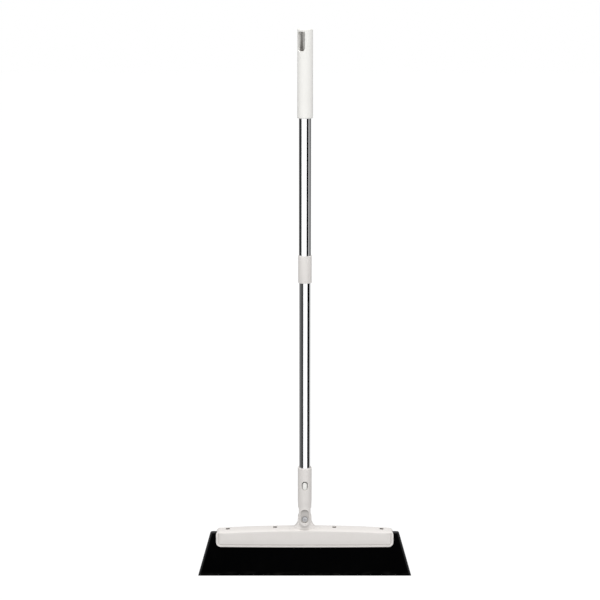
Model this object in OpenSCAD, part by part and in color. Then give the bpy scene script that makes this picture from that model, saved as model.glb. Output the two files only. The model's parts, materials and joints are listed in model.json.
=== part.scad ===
// Floor sweeper with a rubber blade, a tilting head and a telescopic twist-lock pole.
// Millimetres. Z runs up the pole, Z = 0 is the blade's lower edge, the front is -Y,
// and the pole's axis is X = Y = 0. It is drawn with the pole fully drawn out.

/* [Pole] */
// Outer diameter of the upper (outer) tube
upper_tube_d = 24.5; // [24.4:0.1:25]
// Outer diameter of the lower (inner) tube
lower_tube_d = 23.2; // [23:0.1:23.3]
// Wall thickness of both tubes
tube_wall = 0.4; // [0.3:0.05:0.4]
// Height of the upper tube's top end, inside the grip
upper_tube_top = 1126; // [1115:1:1130]
// Height of the lower tube's bottom end, inside the neck
lower_tube_bottom = 190; // [186:1:195]
// Height of the lower tube's top end when the pole is drawn out
lower_tube_top = 714; // [714:1:730]

/* [Grip] */
// Height of the grip's lower end
grip_bottom = 1002; // [980:1:1040]
// Height of the grip's top, which is the height of the whole sweeper
grip_top = 1181; // [1176:1:1190]
// Diameter at the grip's lower end
grip_low_d = 32; // [31:0.5:34]
// Diameter at the grip's top
grip_high_d = 31.4; // [30:0.2:33]
// Width of the hang slot
slot_w = 17; // [14:0.5:18]
// Height of the hang slot's lower edge
slot_low = 1135.4; // [1133:0.2:1145]
// Height of the hang slot's upper edge
slot_high = 1174; // [1165:1:1175]
// Turn of the hang slot from the front towards the left side, in degrees
slot_turn = 35.5; // [0:0.5:45]

/* [Collar and twist lock] */
// Height of the collar's lower end
collar_bottom = 661; // [655:1:662]
// Height of the collar's upper end
collar_top = 719; // [716:1:730]
// Outer diameter of the collar
collar_d = 28.1; // [27:0.1:32]
// Diameter of the lock's threaded stud
stud_d = 8; // [7:0.5:8]
// Growth of the lock cone's radius per millimetre of height
cone_slope = 0.22; // [0.15:0.01:0.22]

/* [Neck and button] */
// Height of the neck's top rim
neck_top = 253.2; // [250:0.2:260]
// Diameter of the neck
neck_d = 30; // [29:0.2:31]
// Diameter of the neck at its waist
waist_d = 28.6; // [28:0.1:29]
// Height of the middle of the release button
button_z = 213.5; // [210:0.5:216]
// Width of the release button
button_w = 9.6; // [8:0.1:9.8]
// Height of the release button's face
button_h = 17; // [14:0.5:17]
// How far the release button travels when pressed
button_travel = 3; // [2:0.1:3]

/* [Pivot] */
// Height of the tilt axis, which runs from front to back
pivot_z = 137.4; // [136:0.2:140]
// Diameter of the pivot screw's shank
pivot_d = 6; // [5:0.5:6]
// Thickness of the head's tongue between the neck's two ears
tongue_t = 13.2; // [12:0.2:13.2]

/* [Head] */
// Width of the head's shells
head_w = 388; // [360:1:400]
// Depth of the head's shells from front to back
head_depth = 28; // [28:0.5:30]
// Height of the head's top at the middle
head_top_mid = 113.3; // [112:0.1:115]
// Height of the head's top at both ends
head_top_end = 107.2; // [106.5:0.1:109]
// Height of the head's lower edge at the middle
head_low_mid = 71.2; // [70:0.2:73]
// Height of the head's lower edge at both ends
head_low_end = 72.2; // [72:0.2:75]
// Wall thickness of the shells
shell_wall = 2.2; // [1.8:0.1:2.2]
// Width of the flat lip around the raised panel
lip_w = 6; // [4:0.5:8]
// Height of the raised panel above the lip
panel_rise = 2.4; // [1.5:0.1:2.4]

/* [Blade] */
// Width of the blade at its upper edge
blade_top_w = 412.4; // [402:0.2:420]
// Width of the blade at its lower edge
blade_low_w = 471; // [450:1:500]
// Height of the blade's upper edge
blade_top = 103.8; // [102:0.1:103.8]
// Thickness of the blade at its upper edge
blade_top_t = 10; // [8:0.5:10]
// Thickness of the blade at its lower edge
blade_low_t = 3; // [2:0.5:4]

/* [Hidden] */

$fn = 96;
cut = 1;            // how far a cutter reaches past the surface it opens
fit = 0.05;         // running clearance of a round fit, on the radius
gap = 0.3;          // clearance between loose neighbours

white = [0.93, 0.93, 0.91];
warm_white = [0.86, 0.845, 0.83];
chrome = [0.75, 0.76, 0.78];
steel = [0.55, 0.56, 0.58];
inner_plastic = [0.7, 0.7, 0.72];
rubber_black = [0.03, 0.03, 0.03];

upper_r = upper_tube_d / 2;
upper_bore = upper_r - tube_wall;
lower_r = lower_tube_d / 2;
lower_bore = lower_r - tube_wall;

// Collar: the guide ring sits in its foot, and the upper tube stands on the ring.
ring_h = 6;
ring_low = collar_bottom + 1.5;
ring_top = ring_low + ring_h;
ring_r = 13.2;
upper_tube_bottom = ring_top;

// A bead rolled into the upper tube stops the lock plug's flange.
bead_top = lower_tube_top - 0.5;
bead_h = 3;
bead_depth = 0.17;

// Lock stack above the lower tube, from the plug's flange up to the nut.
flange_h = 4;
plug_in_tube = 22;
plug_top = lower_tube_top + flange_h;
bush_low = plug_top + gap;
bush_h = 26;
bush_r = upper_bore - 0.1;
bush_seat_h = 9;
taper_low = bush_low + bush_seat_h;
taper_low_r = 6;
cone_low = taper_low + 6;
cone_h = 22;
cone_taper_h = 16;
cone_play = 0.35;
cone_rise = 2.25;
nut_low = cone_low + cone_h + cone_rise + 2;
nut_h = 5;
stud_r = stud_d / 2;
split_w = 2;
key_w = 1.6;

// Neck, clevis slot and pivot.
neck_r = neck_d / 2;
socket_floor = lower_tube_bottom - 2;
waist_z = 165;
waist_half = 15;
slot_top = 161;
ear_inner = 7.35;
washer_t = 0.6;
washer_low = ear_inner - 0.05 - washer_t;
recess_r = 9;
recess_top = 151;
recess_floor = 10.6;
pivot_r = pivot_d / 2;
screw_head_r = 6.4;
screw_head_h = 2.6;
nut_flats = 10;

// Button and its carrier.
window_w = 15;
window_low = 202.3;
window_high = 224.8;
window_floor = 12.4;
button_face = 14.4;
flange_front = 9.2;
flange_back = 7.2;
flange_w = 12.4;
flange_tall = 20;
pocket_back = 2.5;
spring_bore_end = 6;
spring_r = 3.1;
wire_r = 0.4;
spring_turns = 6;

// Head.
half_w = head_w / 2;
half_depth = head_depth / 2;
lip_face = half_depth - panel_rise;
top_corner = 8.5;
low_corner = 10.5;
edge_steps = 24;
tongue_y = tongue_t / 2;
flare_r = 18;
flare_base = 106;
screw_z = 84;
screw_xs = [-150, -90, -30, 30, 90, 150];
rib_xs = [-180, -120, -60, 0, 60, 120, 180];
hook_xs = [-168.5, -65, 65, 168.5];
hook_w = 7;
hook_t = 1;
hook_reach = 3;
barb_d = 1.2;
hook_window_w = 8.4;
hook_window_y = 1.2;
hook_window_d = 6;
clamp_screw_r = 1.8;
clamp_head_r = 3.4;
counterbore_r = 3.9;

function head_top(x) = head_top_mid - (head_top_mid - head_top_end) * pow(x / half_w, 2);
function head_low(x) = head_low_mid + (head_low_end - head_low_mid) * pow(x / half_w, 2);
function arc(cx, cy, r, from, to, steps) =
    [for (i = [0:steps]) let (a = from + (to - from) * i / steps) [cx + r * cos(a), cy + r * sin(a)]];

// The head's outline seen from the front, moved in by its three insets.
function head_outline(side, top, low) = let (
    w = half_w - side,
    rt = max(top_corner - side, 1.5),
    rl = max(low_corner - side, 1.5),
    xt = w - rt,
    xl = w - rl)
    concat(
        arc(xl, head_low(xl) + low + rl, rl, -90, 0, 8),
        arc(xt, head_top(xt) - top - rt, rt, 0, 90, 8),
        [for (i = [1:edge_steps - 1]) let (x = xt - 2 * xt * i / edge_steps) [x, head_top(x) - top]],
        arc(-xt, head_top(xt) - top - rt, rt, 90, 180, 8),
        arc(-xl, head_low(xl) + low + rl, rl, 180, 270, 8),
        [for (i = [1:edge_steps - 1]) let (x = -xl + 2 * xl * i / edge_steps) [x, head_low(x) + low]]);

// Stands a shape drawn in X and Z between two depths.
module between_y(y0, y1) {
    translate([0, y1, 0]) rotate([90, 0, 0]) linear_extrude(height = y1 - y0) children();
}

module y_cylinder(r, y0, y1, x = 0, z = 0) {
    translate([x, y1, z]) rotate([90, 0, 0]) cylinder(r = r, h = y1 - y0);
}

module z_cylinder(r, z0, z1) {
    translate([0, 0, z0]) cylinder(r = r, h = z1 - z0);
}

module z_cone(r0, r1, z0, z1) {
    translate([0, 0, z0]) cylinder(r1 = r0, r2 = r1, h = z1 - z0);
}

// An upright slot shape with round ends, seen from the front.
module obround(w, z0, z1) {
    translate([0, z0 + w / 2]) circle(d = w);
    translate([0, z1 - w / 2]) circle(d = w);
    translate([-w / 2, z0 + w / 2]) square([w, z1 - z0 - w]);
}

// ---- upper pole ----

module grip_profile() {
    low_round = 2.5;
    top_round = 3.5;
    low_r = grip_low_d / 2;
    high_r = grip_high_d / 2;
    polygon(concat(
        [[0, grip_bottom]],
        arc(low_r - low_round, grip_bottom + low_round, low_round, -90, 0, 8),
        arc(high_r - top_round, grip_top - top_round, top_round, 0, 90, 8),
        [[0, grip_top]]));
}

module hang_slot() {
    low_r = 6;
    high_r = 2;
    half = slot_w / 2;
    rotate([0, 0, -slot_turn]) between_y(-grip_low_d, grip_low_d) polygon(concat(
        arc(half - low_r, slot_low + low_r, low_r, -90, 0, 8),
        arc(half - high_r, slot_high - high_r, high_r, 0, 90, 6),
        arc(high_r - half, slot_high - high_r, high_r, 90, 180, 6),
        arc(low_r - half, slot_low + low_r, low_r, 180, 270, 8)));
}

module handle_grip() {
    color(white) difference() {
        rotate_extrude() grip_profile();
        z_cylinder(upper_r, grip_bottom - cut, upper_tube_top);
        hang_slot();
    }
}

module grip_plug() {
    plug_h = 20;
    color(inner_plastic) difference() {
        z_cylinder(upper_bore, upper_tube_top - plug_h, upper_tube_top);
        z_cylinder(upper_bore - 3, upper_tube_top - plug_h - cut, upper_tube_top - 3);
    }
}

module upper_tube() {
    bead_mid = bead_top - bead_h / 2;
    bead_low = bead_top - bead_h;
    color(chrome) rotate_extrude() polygon([
        [upper_bore, upper_tube_bottom], [upper_r, upper_tube_bottom],
        [upper_r, bead_low], [upper_r - bead_depth, bead_mid], [upper_r, bead_top],
        [upper_r, upper_tube_top], [upper_bore, upper_tube_top],
        [upper_bore, bead_top], [upper_bore - bead_depth, bead_mid], [upper_bore, bead_low]]);
}

module lock_collar() {
    outer = collar_d / 2;
    edge = 0.8;
    color(warm_white) difference() {
        rotate_extrude() polygon(concat(
            [[0, collar_bottom]],
            arc(outer - edge, collar_bottom + edge, edge, -90, 0, 4),
            arc(outer - edge, collar_top - edge, edge, 0, 90, 4),
            [[0, collar_top]]));
        z_cylinder(upper_r, ring_top, collar_top + cut);
        z_cylinder(ring_r, ring_low, ring_top);
        z_cylinder(lower_r + gap, collar_bottom - cut, ring_low + cut);
    }
}

module guide_ring() {
    color(inner_plastic) difference() {
        z_cylinder(ring_r, ring_low, ring_top);
        z_cylinder(lower_r + fit, ring_low - cut, ring_top + cut);
    }
}

// ---- twist lock ----

module expander_bush() {
    taper_h = bush_h - bush_seat_h;
    color(inner_plastic) difference() {
        z_cylinder(bush_r, bush_low, bush_low + bush_h);
        z_cylinder(stud_r + fit, bush_low - cut, bush_low + bush_h);
        z_cone(taper_low_r, taper_low_r + cone_slope * taper_h, taper_low, bush_low + bush_h + 0.001);
        for (turn = [0, 90]) rotate([0, 0, turn])
            translate([-bush_r - cut, -split_w / 2, taper_low])
                cube([2 * (bush_r + cut), split_w, taper_h + cut]);
    }
}

module expander_cone() {
    low_r = taper_low_r + cone_slope * (cone_low - taper_low) - cone_play;
    high_r = low_r + cone_slope * cone_taper_h;
    key_r = bush_r - 0.6;
    color(inner_plastic) difference() {
        union() {
            z_cone(low_r, high_r, cone_low, cone_low + cone_taper_h);
            z_cylinder(high_r, cone_low + cone_taper_h, cone_low + cone_h);
            for (turn = [0, 90]) rotate([0, 0, turn])
                translate([-key_r, -key_w / 2, cone_low]) cube([2 * key_r, key_w, cone_taper_h]);
        }
        z_cylinder(stud_r + fit, cone_low - cut, cone_low + cone_h + cut);
    }
}

module lock_plug() {
    stud_hole_low = plug_top - 20;
    color(inner_plastic) difference() {
        union() {
            z_cylinder(lower_bore, lower_tube_top - plug_in_tube, lower_tube_top);
            z_cylinder(upper_bore - 0.08, lower_tube_top, plug_top);
        }
        z_cylinder(stud_r, stud_hole_low, plug_top + cut);
    }
}

module lock_stud() {
    color(steel) z_cylinder(stud_r, plug_top - 20, nut_low + nut_h + 1.5);
}

module stud_nut() {
    color(steel) difference() {
        translate([0, 0, nut_low]) cylinder(r = 7.5, h = nut_h, $fn = 6);
        z_cylinder(stud_r, nut_low - cut, nut_low + nut_h + cut);
    }
}

// ---- lower pole ----

module lower_tube() {
    hole_w = button_w + 1;
    hole_h = button_h + 1;
    color(chrome) difference() {
        z_cylinder(lower_r, lower_tube_bottom, lower_tube_top);
        z_cylinder(lower_bore, lower_tube_bottom - cut, lower_tube_top + cut);
        between_y(-lower_r - cut, 0) obround(hole_w, button_z - hole_h / 2, button_z + hole_h / 2);
    }
}

module snap_plug() {
    pocket_h = flange_tall + 1;
    color(inner_plastic) difference() {
        z_cylinder(lower_bore, lower_tube_bottom, button_z + 22);
        between_y(-lower_r, -pocket_back)
            obround(flange_w + 0.8, button_z - pocket_h / 2, button_z + pocket_h / 2);
        y_cylinder(spring_r + wire_r + 0.4, -pocket_back - cut, spring_bore_end, z = button_z);
    }
}

// A round wire wound around the Y axis, from the button's flange to the pocket's floor.
module button_spring() {
    y0 = wire_r - flange_back;
    y1 = spring_bore_end - wire_r;
    steps = spring_turns * 20;
    sides = 8;
    points = [for (i = [0:steps]) let (a = 360 * spring_turns * i / steps, y = y0 + (y1 - y0) * i / steps)
        for (k = [0:sides - 1]) let (b = 360 * k / sides, r = spring_r + wire_r * cos(b))
            [r * cos(a), y + wire_r * sin(b), r * sin(a) + button_z]];
    walls = [for (i = [0:steps - 1]) for (k = [0:sides - 1]) let (n = (k + 1) % sides)
        [i * sides + k, i * sides + n, (i + 1) * sides + n, (i + 1) * sides + k]];
    start_cap = [[for (k = [sides - 1:-1:0]) k]];
    end_cap = [[for (k = [0:sides - 1]) steps * sides + k]];
    color(steel) polyhedron(points, concat(walls, start_cap, end_cap));
}

module release_button() {
    color(white) {
        between_y(-button_face, -flange_front)
            obround(button_w, button_z - button_h / 2, button_z + button_h / 2);
        between_y(-flange_front, -flange_back)
            obround(flange_w, button_z - flange_tall / 2, button_z + flange_tall / 2);
    }
}

module neck_profile() {
    rim = 1;
    step = waist_half / 6;
    dip = (neck_d - waist_d) / 2;
    polygon(concat(
        [[0, pivot_z - neck_r], [neck_r, pivot_z - neck_r]],
        [for (z = [waist_z - waist_half:step:waist_z + waist_half])
            [neck_r - dip * (1 + cos(180 * (z - waist_z) / waist_half)) / 2, z]],
        arc(neck_r - rim, neck_top - rim, rim, 0, 90, 4),
        [[0, neck_top]]));
}

module neck_socket() {
    hole_w = button_w + 1.4;
    hole_h = button_h + 1.4;
    color(warm_white) difference() {
        intersection() {
            rotate_extrude() neck_profile();
            union() {
                y_cylinder(neck_r, -neck_r, neck_r, z = pivot_z);
                translate([-neck_r, -neck_r, pivot_z]) cube([neck_d, neck_d, neck_top - pivot_z]);
            }
        }
        z_cylinder(lower_r + fit, socket_floor, neck_top + cut);
        translate([-neck_r - cut, -ear_inner, pivot_z - neck_r - cut])
            cube([neck_d + 2 * cut, 2 * ear_inner, slot_top - pivot_z + neck_r + cut]);
        between_y(-neck_r - cut, -window_floor) obround(window_w, window_low, window_high);
        between_y(-neck_r - cut, 0) obround(hole_w, button_z - hole_h / 2, button_z + hole_h / 2);
        between_y(-neck_r - cut, -recess_floor)
            obround(2 * recess_r, pivot_z - recess_r, recess_top + recess_r);
        y_cylinder(recess_r - 1.5, recess_floor, neck_r + cut, z = pivot_z);
        y_cylinder(pivot_r, -neck_r, neck_r, z = pivot_z);
    }
}

module pivot_screw() {
    top = recess_floor + screw_head_h;
    color(steel) difference() {
        union() {
            y_cylinder(screw_head_r, -top, -recess_floor, z = pivot_z);
            y_cylinder(pivot_r, -recess_floor, neck_r - 0.6, z = pivot_z);
        }
        for (turn = [45, 135]) translate([0, -top, pivot_z]) rotate([0, turn, 0])
            cube([1.3, 2.4, 7], center = true);
    }
}

module pivot_nut() {
    nut_r = nut_flats / (2 * cos(30));
    color(steel) difference() {
        translate([0, recess_floor + 3.6, pivot_z])
            rotate([90, 0, 0]) cylinder(r = nut_r, h = 3.6, $fn = 6);
        y_cylinder(pivot_r, recess_floor - cut, neck_r, z = pivot_z);
    }
}

module pivot_washers() {
    color(steel) for (side = [-1, 1]) {
        y0 = side > 0 ? washer_low : -washer_low - washer_t;
        difference() {
            y_cylinder(recess_r - 1, y0, y0 + washer_t, z = pivot_z);
            y_cylinder(pivot_r + 0.1, y0 - cut, y0 + washer_t + cut, z = pivot_z);
        }
    }
}

// ---- head ----

// One half of the head as a hollow cover: side is -1 for the front, 1 for the rear.
module head_cover(side) {
    blade_gap = 4.3;
    end_gap = 5.3;
    rib_y = 5.2;
    y_of = function(a, b) side > 0 ? [a, b] : [-b, -a];
    outer = y_of(0, lip_face);
    panel = y_of(lip_face, half_depth);
    hollow = y_of(-cut, lip_face - shell_wall);
    pocket = y_of(lip_face - shell_wall, half_depth - shell_wall);
    ribs = y_of(rib_y, lip_face);
    difference() {
        union() {
            difference() {
                union() {
                    between_y(outer[0], outer[1]) polygon(head_outline(0, 0, 0));
                    between_y(panel[0], panel[1]) polygon(head_outline(lip_w, 1, lip_w));
                }
                between_y(hollow[0], hollow[1]) polygon(head_outline(shell_wall, shell_wall, shell_wall));
                between_y(pocket[0], pocket[1])
                    polygon(head_outline(lip_w + shell_wall, 1 + shell_wall, lip_w + shell_wall));
            }
            for (x = rib_xs) translate([x, 0, 0]) between_y(ribs[0], ribs[1])
                translate([-1, head_low_end]) square([2, blade_top - head_low_end]);
            for (x = screw_xs) {
                boss = y_of(rib_y, lip_face);
                y_cylinder(5, boss[0], boss[1], x = x, z = screw_z);
            }
        }
        translate([-half_w, -blade_gap, head_low_mid - 5]) cube([head_w, 2 * blade_gap, 14]);
        for (end = [-1, 1]) translate([end * half_w - 6, -end_gap, head_low_mid - 5])
            cube([12, 2 * end_gap, blade_top + gap - head_low_mid + 5]);
    }
}

// The tongue that stands up between the neck's ears, flared where it meets the head.
module tongue_outline() {
    base_w = neck_r + flare_r;
    flare_top = head_top_mid + flare_r;
    translate([0, pivot_z]) circle(r = neck_r - 0.2);
    polygon(concat(
        [[-base_w, flare_base], [base_w, flare_base]],
        [for (p = arc(base_w, flare_top, flare_r, 270, 180, 10)) p],
        [[neck_r - 0.2, pivot_z], [0.2 - neck_r, pivot_z]],
        [for (p = arc(-base_w, flare_top, flare_r, 0, -90, 10)) p]));
}

module rear_shell() {
    color(warm_white) difference() {
        union() {
            difference() {
                head_cover(1);
                for (x = hook_xs)
                    translate([x - hook_window_w / 2, hook_window_y, head_top(x) - shell_wall - 2])
                        cube([hook_window_w, hook_window_d, shell_wall + 4]);
            }
            between_y(-tongue_y, tongue_y) tongue_outline();
            between_y(0, lip_face) translate([-neck_r - flare_r, flare_base])
                square([2 * (neck_r + flare_r), head_top(neck_r + flare_r) - flare_base]);
        }
        y_cylinder(pivot_r + fit, -tongue_y - cut, tongue_y + cut, z = pivot_z);
        for (x = screw_xs) {
            y_cylinder(counterbore_r, lip_face - shell_wall, half_depth + cut, x = x, z = screw_z);
            y_cylinder(clamp_screw_r + 0.2, 0, half_depth, x = x, z = screw_z);
        }
    }
}

module front_shell() {
    base_w = neck_r + flare_r + gap;
    hook_root = 4;
    color(warm_white) difference() {
        union() {
            head_cover(-1);
            for (x = hook_xs) {
                under = head_top(x) - shell_wall - 0.1;
                translate([x - hook_w / 2, -hook_root, under - hook_t]) {
                    cube([hook_w, hook_root + hook_reach, hook_t]);
                    cube([hook_w, hook_root - 0.5, hook_t + 1]);
                    translate([0, hook_root + hook_window_y + 0.4, 0]) cube([hook_w, barb_d, hook_t + 1]);
                }
            }
        }
        translate([-base_w, -tongue_y - gap, flare_base - gap])
            cube([2 * base_w, tongue_y + gap + cut, 20]);
        for (x = screw_xs) y_cylinder(clamp_screw_r, -lip_face, 0, x = x, z = screw_z);
    }
}

module bar_outline() {
    translate([-185, 91]) square([370, 9]);
}

module stiffener_bar() {
    color(steel) between_y(-0.9, 0.9) bar_outline();
}

module blade() {
    top = blade_top_w / 2;
    low = blade_low_w / 2;
    color(rubber_black) difference() {
        intersection() {
            between_y(-blade_top_t, blade_top_t)
                polygon([[-low, 0], [low, 0], [top, blade_top], [-top, blade_top]]);
            translate([-low, 0, 0]) rotate([90, 0, 90]) linear_extrude(height = blade_low_w)
                polygon([[-blade_low_t / 2, 0], [blade_low_t / 2, 0],
                    [blade_top_t / 2, blade_top], [-blade_top_t / 2, blade_top]]);
        }
        between_y(-0.9, 0.9) bar_outline();
        for (x = screw_xs) y_cylinder(clamp_screw_r + 0.3, -blade_top_t, blade_top_t, x = x, z = screw_z);
    }
}

module clamp_screws() {
    seat = lip_face - shell_wall;
    color(steel) for (x = screw_xs) {
        y_cylinder(clamp_screw_r, -lip_face, seat, x = x, z = screw_z);
        difference() {
            y_cylinder(clamp_head_r, seat, seat + 2.2, x = x, z = screw_z);
            for (turn = [0, 90]) translate([x, seat + 2.2, screw_z]) rotate([0, turn, 0])
                cube([0.8, 2, 4], center = true);
        }
    }
}

handle_grip();
grip_plug();
upper_tube();
lock_collar();
guide_ring();
expander_bush();
expander_cone();
lock_plug();
lock_stud();
stud_nut();
lower_tube();
snap_plug();
button_spring();
release_button();
neck_socket();
pivot_screw();
pivot_nut();
pivot_washers();
rear_shell();
front_shell();
stiffener_bar();
blade();
clamp_screws();
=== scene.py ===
import json
import math

import bmesh
import bpy
from bpy.props import (
    BoolProperty,
    FloatProperty,
    FloatVectorProperty,
    IntProperty,
    PointerProperty,
)
from bpy.types import Operator, Panel, PropertyGroup
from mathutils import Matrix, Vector
from mathutils.kdtree import KDTree


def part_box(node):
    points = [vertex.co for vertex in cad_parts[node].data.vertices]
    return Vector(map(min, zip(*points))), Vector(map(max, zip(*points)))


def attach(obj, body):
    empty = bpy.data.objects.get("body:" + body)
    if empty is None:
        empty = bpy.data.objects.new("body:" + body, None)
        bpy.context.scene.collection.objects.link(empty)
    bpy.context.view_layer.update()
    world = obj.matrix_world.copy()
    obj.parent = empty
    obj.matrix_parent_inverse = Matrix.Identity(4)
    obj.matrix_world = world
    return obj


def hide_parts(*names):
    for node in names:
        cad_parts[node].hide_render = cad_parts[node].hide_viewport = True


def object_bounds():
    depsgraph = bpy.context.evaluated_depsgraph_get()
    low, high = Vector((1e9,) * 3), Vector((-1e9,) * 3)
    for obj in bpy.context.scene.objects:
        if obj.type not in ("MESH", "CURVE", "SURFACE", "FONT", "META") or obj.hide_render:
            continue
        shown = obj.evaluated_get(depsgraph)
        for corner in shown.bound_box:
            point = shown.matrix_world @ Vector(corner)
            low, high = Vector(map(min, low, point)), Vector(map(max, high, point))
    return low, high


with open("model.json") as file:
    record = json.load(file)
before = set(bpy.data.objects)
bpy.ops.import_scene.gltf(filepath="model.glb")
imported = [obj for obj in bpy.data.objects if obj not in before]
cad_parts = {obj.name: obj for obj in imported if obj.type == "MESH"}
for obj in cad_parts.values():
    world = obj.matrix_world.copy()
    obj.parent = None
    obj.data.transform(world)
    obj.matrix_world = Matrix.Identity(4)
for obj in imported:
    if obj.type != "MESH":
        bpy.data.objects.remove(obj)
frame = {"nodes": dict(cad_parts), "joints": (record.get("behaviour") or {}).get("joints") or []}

bl_info = {
    "name": "Rubber Blade Floor Sweeper",
    "version": (1, 0, 0),
    "blender": (4, 5, 0),
    "location": "3D View > Sidebar > Sweeper",
    "description": "Models a floor sweeper with a telescopic pole, a tilting head and a rubber blade",
    "category": "Object",
}

CAD_BOX = [list(corner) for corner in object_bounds()]
JOINTS = {joint["name"]: joint for joint in frame["joints"]}
PIVOT_Z = JOINTS["head_pivot"]["pos_m"][2]


def low_high(node, axis):
    """The lowest and highest place of a frame node along one axis, 0 for X, 1 for Y and 2 for Z."""
    low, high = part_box(node)
    return low[axis], high[axis]


def radius_of(node):
    """The outer radius of a round upright frame node."""
    low, high = low_high(node, 0)
    return (high - low) / 2


BLADE_TOP_HALF = 0.2062


# ---------------------------------------------------------------------------
# Sizes and colours
# ---------------------------------------------------------------------------


def length_setting(name, description, default):
    """A sidebar setting for a length."""
    return FloatProperty(name=name, description=description, default=default,
                         unit="LENGTH", subtype="DISTANCE")


def angle_setting(name, description, default):
    """A sidebar setting for an angle."""
    return FloatProperty(name=name, description=description, default=default,
                         unit="ROTATION", subtype="ANGLE")


def colour_setting(name, description, default):
    """A sidebar setting for a colour."""
    return FloatVectorProperty(name=name, description=description, default=default,
                               subtype="COLOR", size=3, min=0.0, max=1.0)


class SweeperPoleSettings(PropertyGroup):
    """Sizes of the grip, the tubes and the collar."""

    tube_wall: length_setting("Tube wall", "Wall thickness of both chrome tubes", 0.0004)
    grip_top_radius: length_setting(
        "Grip top radius", "Radius of the grip just under its rounded top edge", 0.0157,
    )
    grip_top_round: length_setting("Grip top rounding", "Rounding of the grip's top edge", 0.0034)
    grip_foot_round: length_setting("Grip foot rounding", "Rounding of the grip's lower edge", 0.0022)
    slot_width: length_setting("Hang slot width", "Width of the slot through the grip", 0.017)
    slot_below_top: length_setting(
        "Hang slot below top", "From the grip's top down to the slot's upper edge", 0.007,
    )
    slot_height: length_setting("Hang slot height", "Height of the slot through the grip", 0.0386)
    slot_turn: angle_setting(
        "Hang slot turn", "Turn of the slot from the front towards the left side", math.radians(35.5),
    )
    collar_round: length_setting("Collar rounding", "Rounding of the collar's two edges", 0.0008)


class SweeperNeckSettings(PropertyGroup):
    """Sizes of the neck, its button window and its pivot."""

    waist_dip: length_setting(
        "Waist dip", "How much thinner the neck is at its waist, on the radius", 0.0007,
    )
    waist_above_pivot: length_setting("Waist height", "Height of the waist above the pivot", 0.0276)
    fork_gap: length_setting("Fork gap", "Half of the gap between the neck's two ears", 0.00735)
    fork_height: length_setting(
        "Fork height", "How far the gap between the ears reaches above the pivot", 0.0236,
    )
    window_width: length_setting(
        "Window width", "Width of the scooped window round the release button", 0.015,
    )
    window_height: length_setting(
        "Window height", "Height of the scooped window round the release button", 0.0225,
    )
    recess_width: length_setting(
        "Pivot recess width", "Width of the recess that the pivot screw sits in", 0.018,
    )
    recess_height: length_setting(
        "Pivot recess height", "Height of the recess that the pivot screw sits in", 0.0316,
    )
    recess_floor: length_setting(
        "Pivot recess floor", "Distance of the recess's floor from the pole's axis", 0.0106,
    )


class SweeperHeadSettings(PropertyGroup):
    """Sizes of the head's covers and the blade."""

    end_drop: length_setting(
        "Top edge drop", "How much lower the head's top is at its ends than at its middle", 0.0061,
    )
    end_rise: length_setting(
        "Lower edge rise", "How much higher the head's lower edge is at its ends", 0.0010,
    )
    top_corner: length_setting("Top corner radius", "Radius of the head's two top corners", 0.0085)
    low_corner: length_setting("Lower corner radius", "Radius of the head's two lower corners", 0.0105)
    lip_width: length_setting("Lip width", "Width of the flat lip round the raised panel", 0.006)
    panel_rise: length_setting("Panel rise", "How far the raised panel stands out from the lip", 0.0024)
    shell_wall: length_setting("Cover wall", "Wall thickness of the two covers", 0.0022)
    flare_radius: length_setting(
        "Tongue flare", "Radius of the flares where the tongue meets the head", 0.018,
    )
    blade_end_chamfer: length_setting(
        "Blade end chamfer", "Width of the thinned band along the blade's slanted ends", 0.0042,
    )
    screw_count: IntProperty(
        name="Clamp screws", description="Number of screws across the rear cover", default=6,
    )
    screw_pitch: length_setting("Clamp screw pitch", "Distance between neighbouring clamp screws", 0.06)


class SweeperFinishSettings(PropertyGroup):
    """Colours of the sweeper's materials."""

    grip_colour: colour_setting(
        "Grip plastic", "Colour of the grip and the release button", (0.87, 0.86, 0.83),
    )
    body_colour: colour_setting(
        "Body plastic", "Colour of the collar, the neck and the head's covers", (0.75, 0.72, 0.695),
    )
    rubber_colour: colour_setting("Blade rubber", "Colour of the blade", (0.0006, 0.0006, 0.0007))
    chrome_colour: colour_setting("Chrome", "Colour of the plated tubes", (0.93, 0.935, 0.94))
    steel_colour: colour_setting(
        "Zinc steel", "Colour of the screws, the nut and the washers", (0.42, 0.42, 0.43),
    )


class SweeperStageSettings(PropertyGroup):
    """The camera, the floor and the lights."""

    camera_distance: length_setting(
        "Camera distance", "Distance of the camera from the point that it looks at", 2.583,
    )
    camera_pitch: angle_setting("Camera pitch", "How far the camera looks down", math.radians(12.5))
    camera_lens: FloatProperty(
        name="Focal length", description="Focal length of the camera's lens in millimetres", default=73.8,
    )
    look_height: length_setting("Look height", "Height of the point that the camera looks at", 0.6236)
    look_side: length_setting("Look aside", "How far left of the pole the camera looks", 0.0103)
    screen_radius: length_setting(
        "Reflection screen radius", "Distance of the studio's reflection screens from the pole", 0.6,
    )
    floor_size: length_setting("Floor size", "Width of the studio floor", 60.0)
    show_screens: BoolProperty(
        name="Reflection screens", description="Set dark screens round the chrome tubes", default=True,
    )


# ---------------------------------------------------------------------------
# Modelling by hand: rings, cuts and soft edges
# ---------------------------------------------------------------------------


def select_nothing():
    """Leaves edit mode and deselects all, because an operator acts on everything that is selected."""
    active = bpy.context.view_layer.objects.active
    if active and active.mode != "OBJECT":
        bpy.ops.object.mode_set(mode="OBJECT")
    bpy.ops.object.select_all(action="DESELECT")


def work_on(piece):
    """Makes one piece the only selected and the active one."""
    select_nothing()
    piece.select_set(True)
    bpy.context.view_layer.objects.active = piece


def apply_modifier(piece, kind, **values):
    """Adds one modifier with its values and applies it."""
    work_on(piece)
    modifier = piece.modifiers.new(kind.title(), kind)
    for name, value in values.items():
        setattr(modifier, name, value)
    bpy.ops.object.modifier_apply(modifier=modifier.name)


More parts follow.
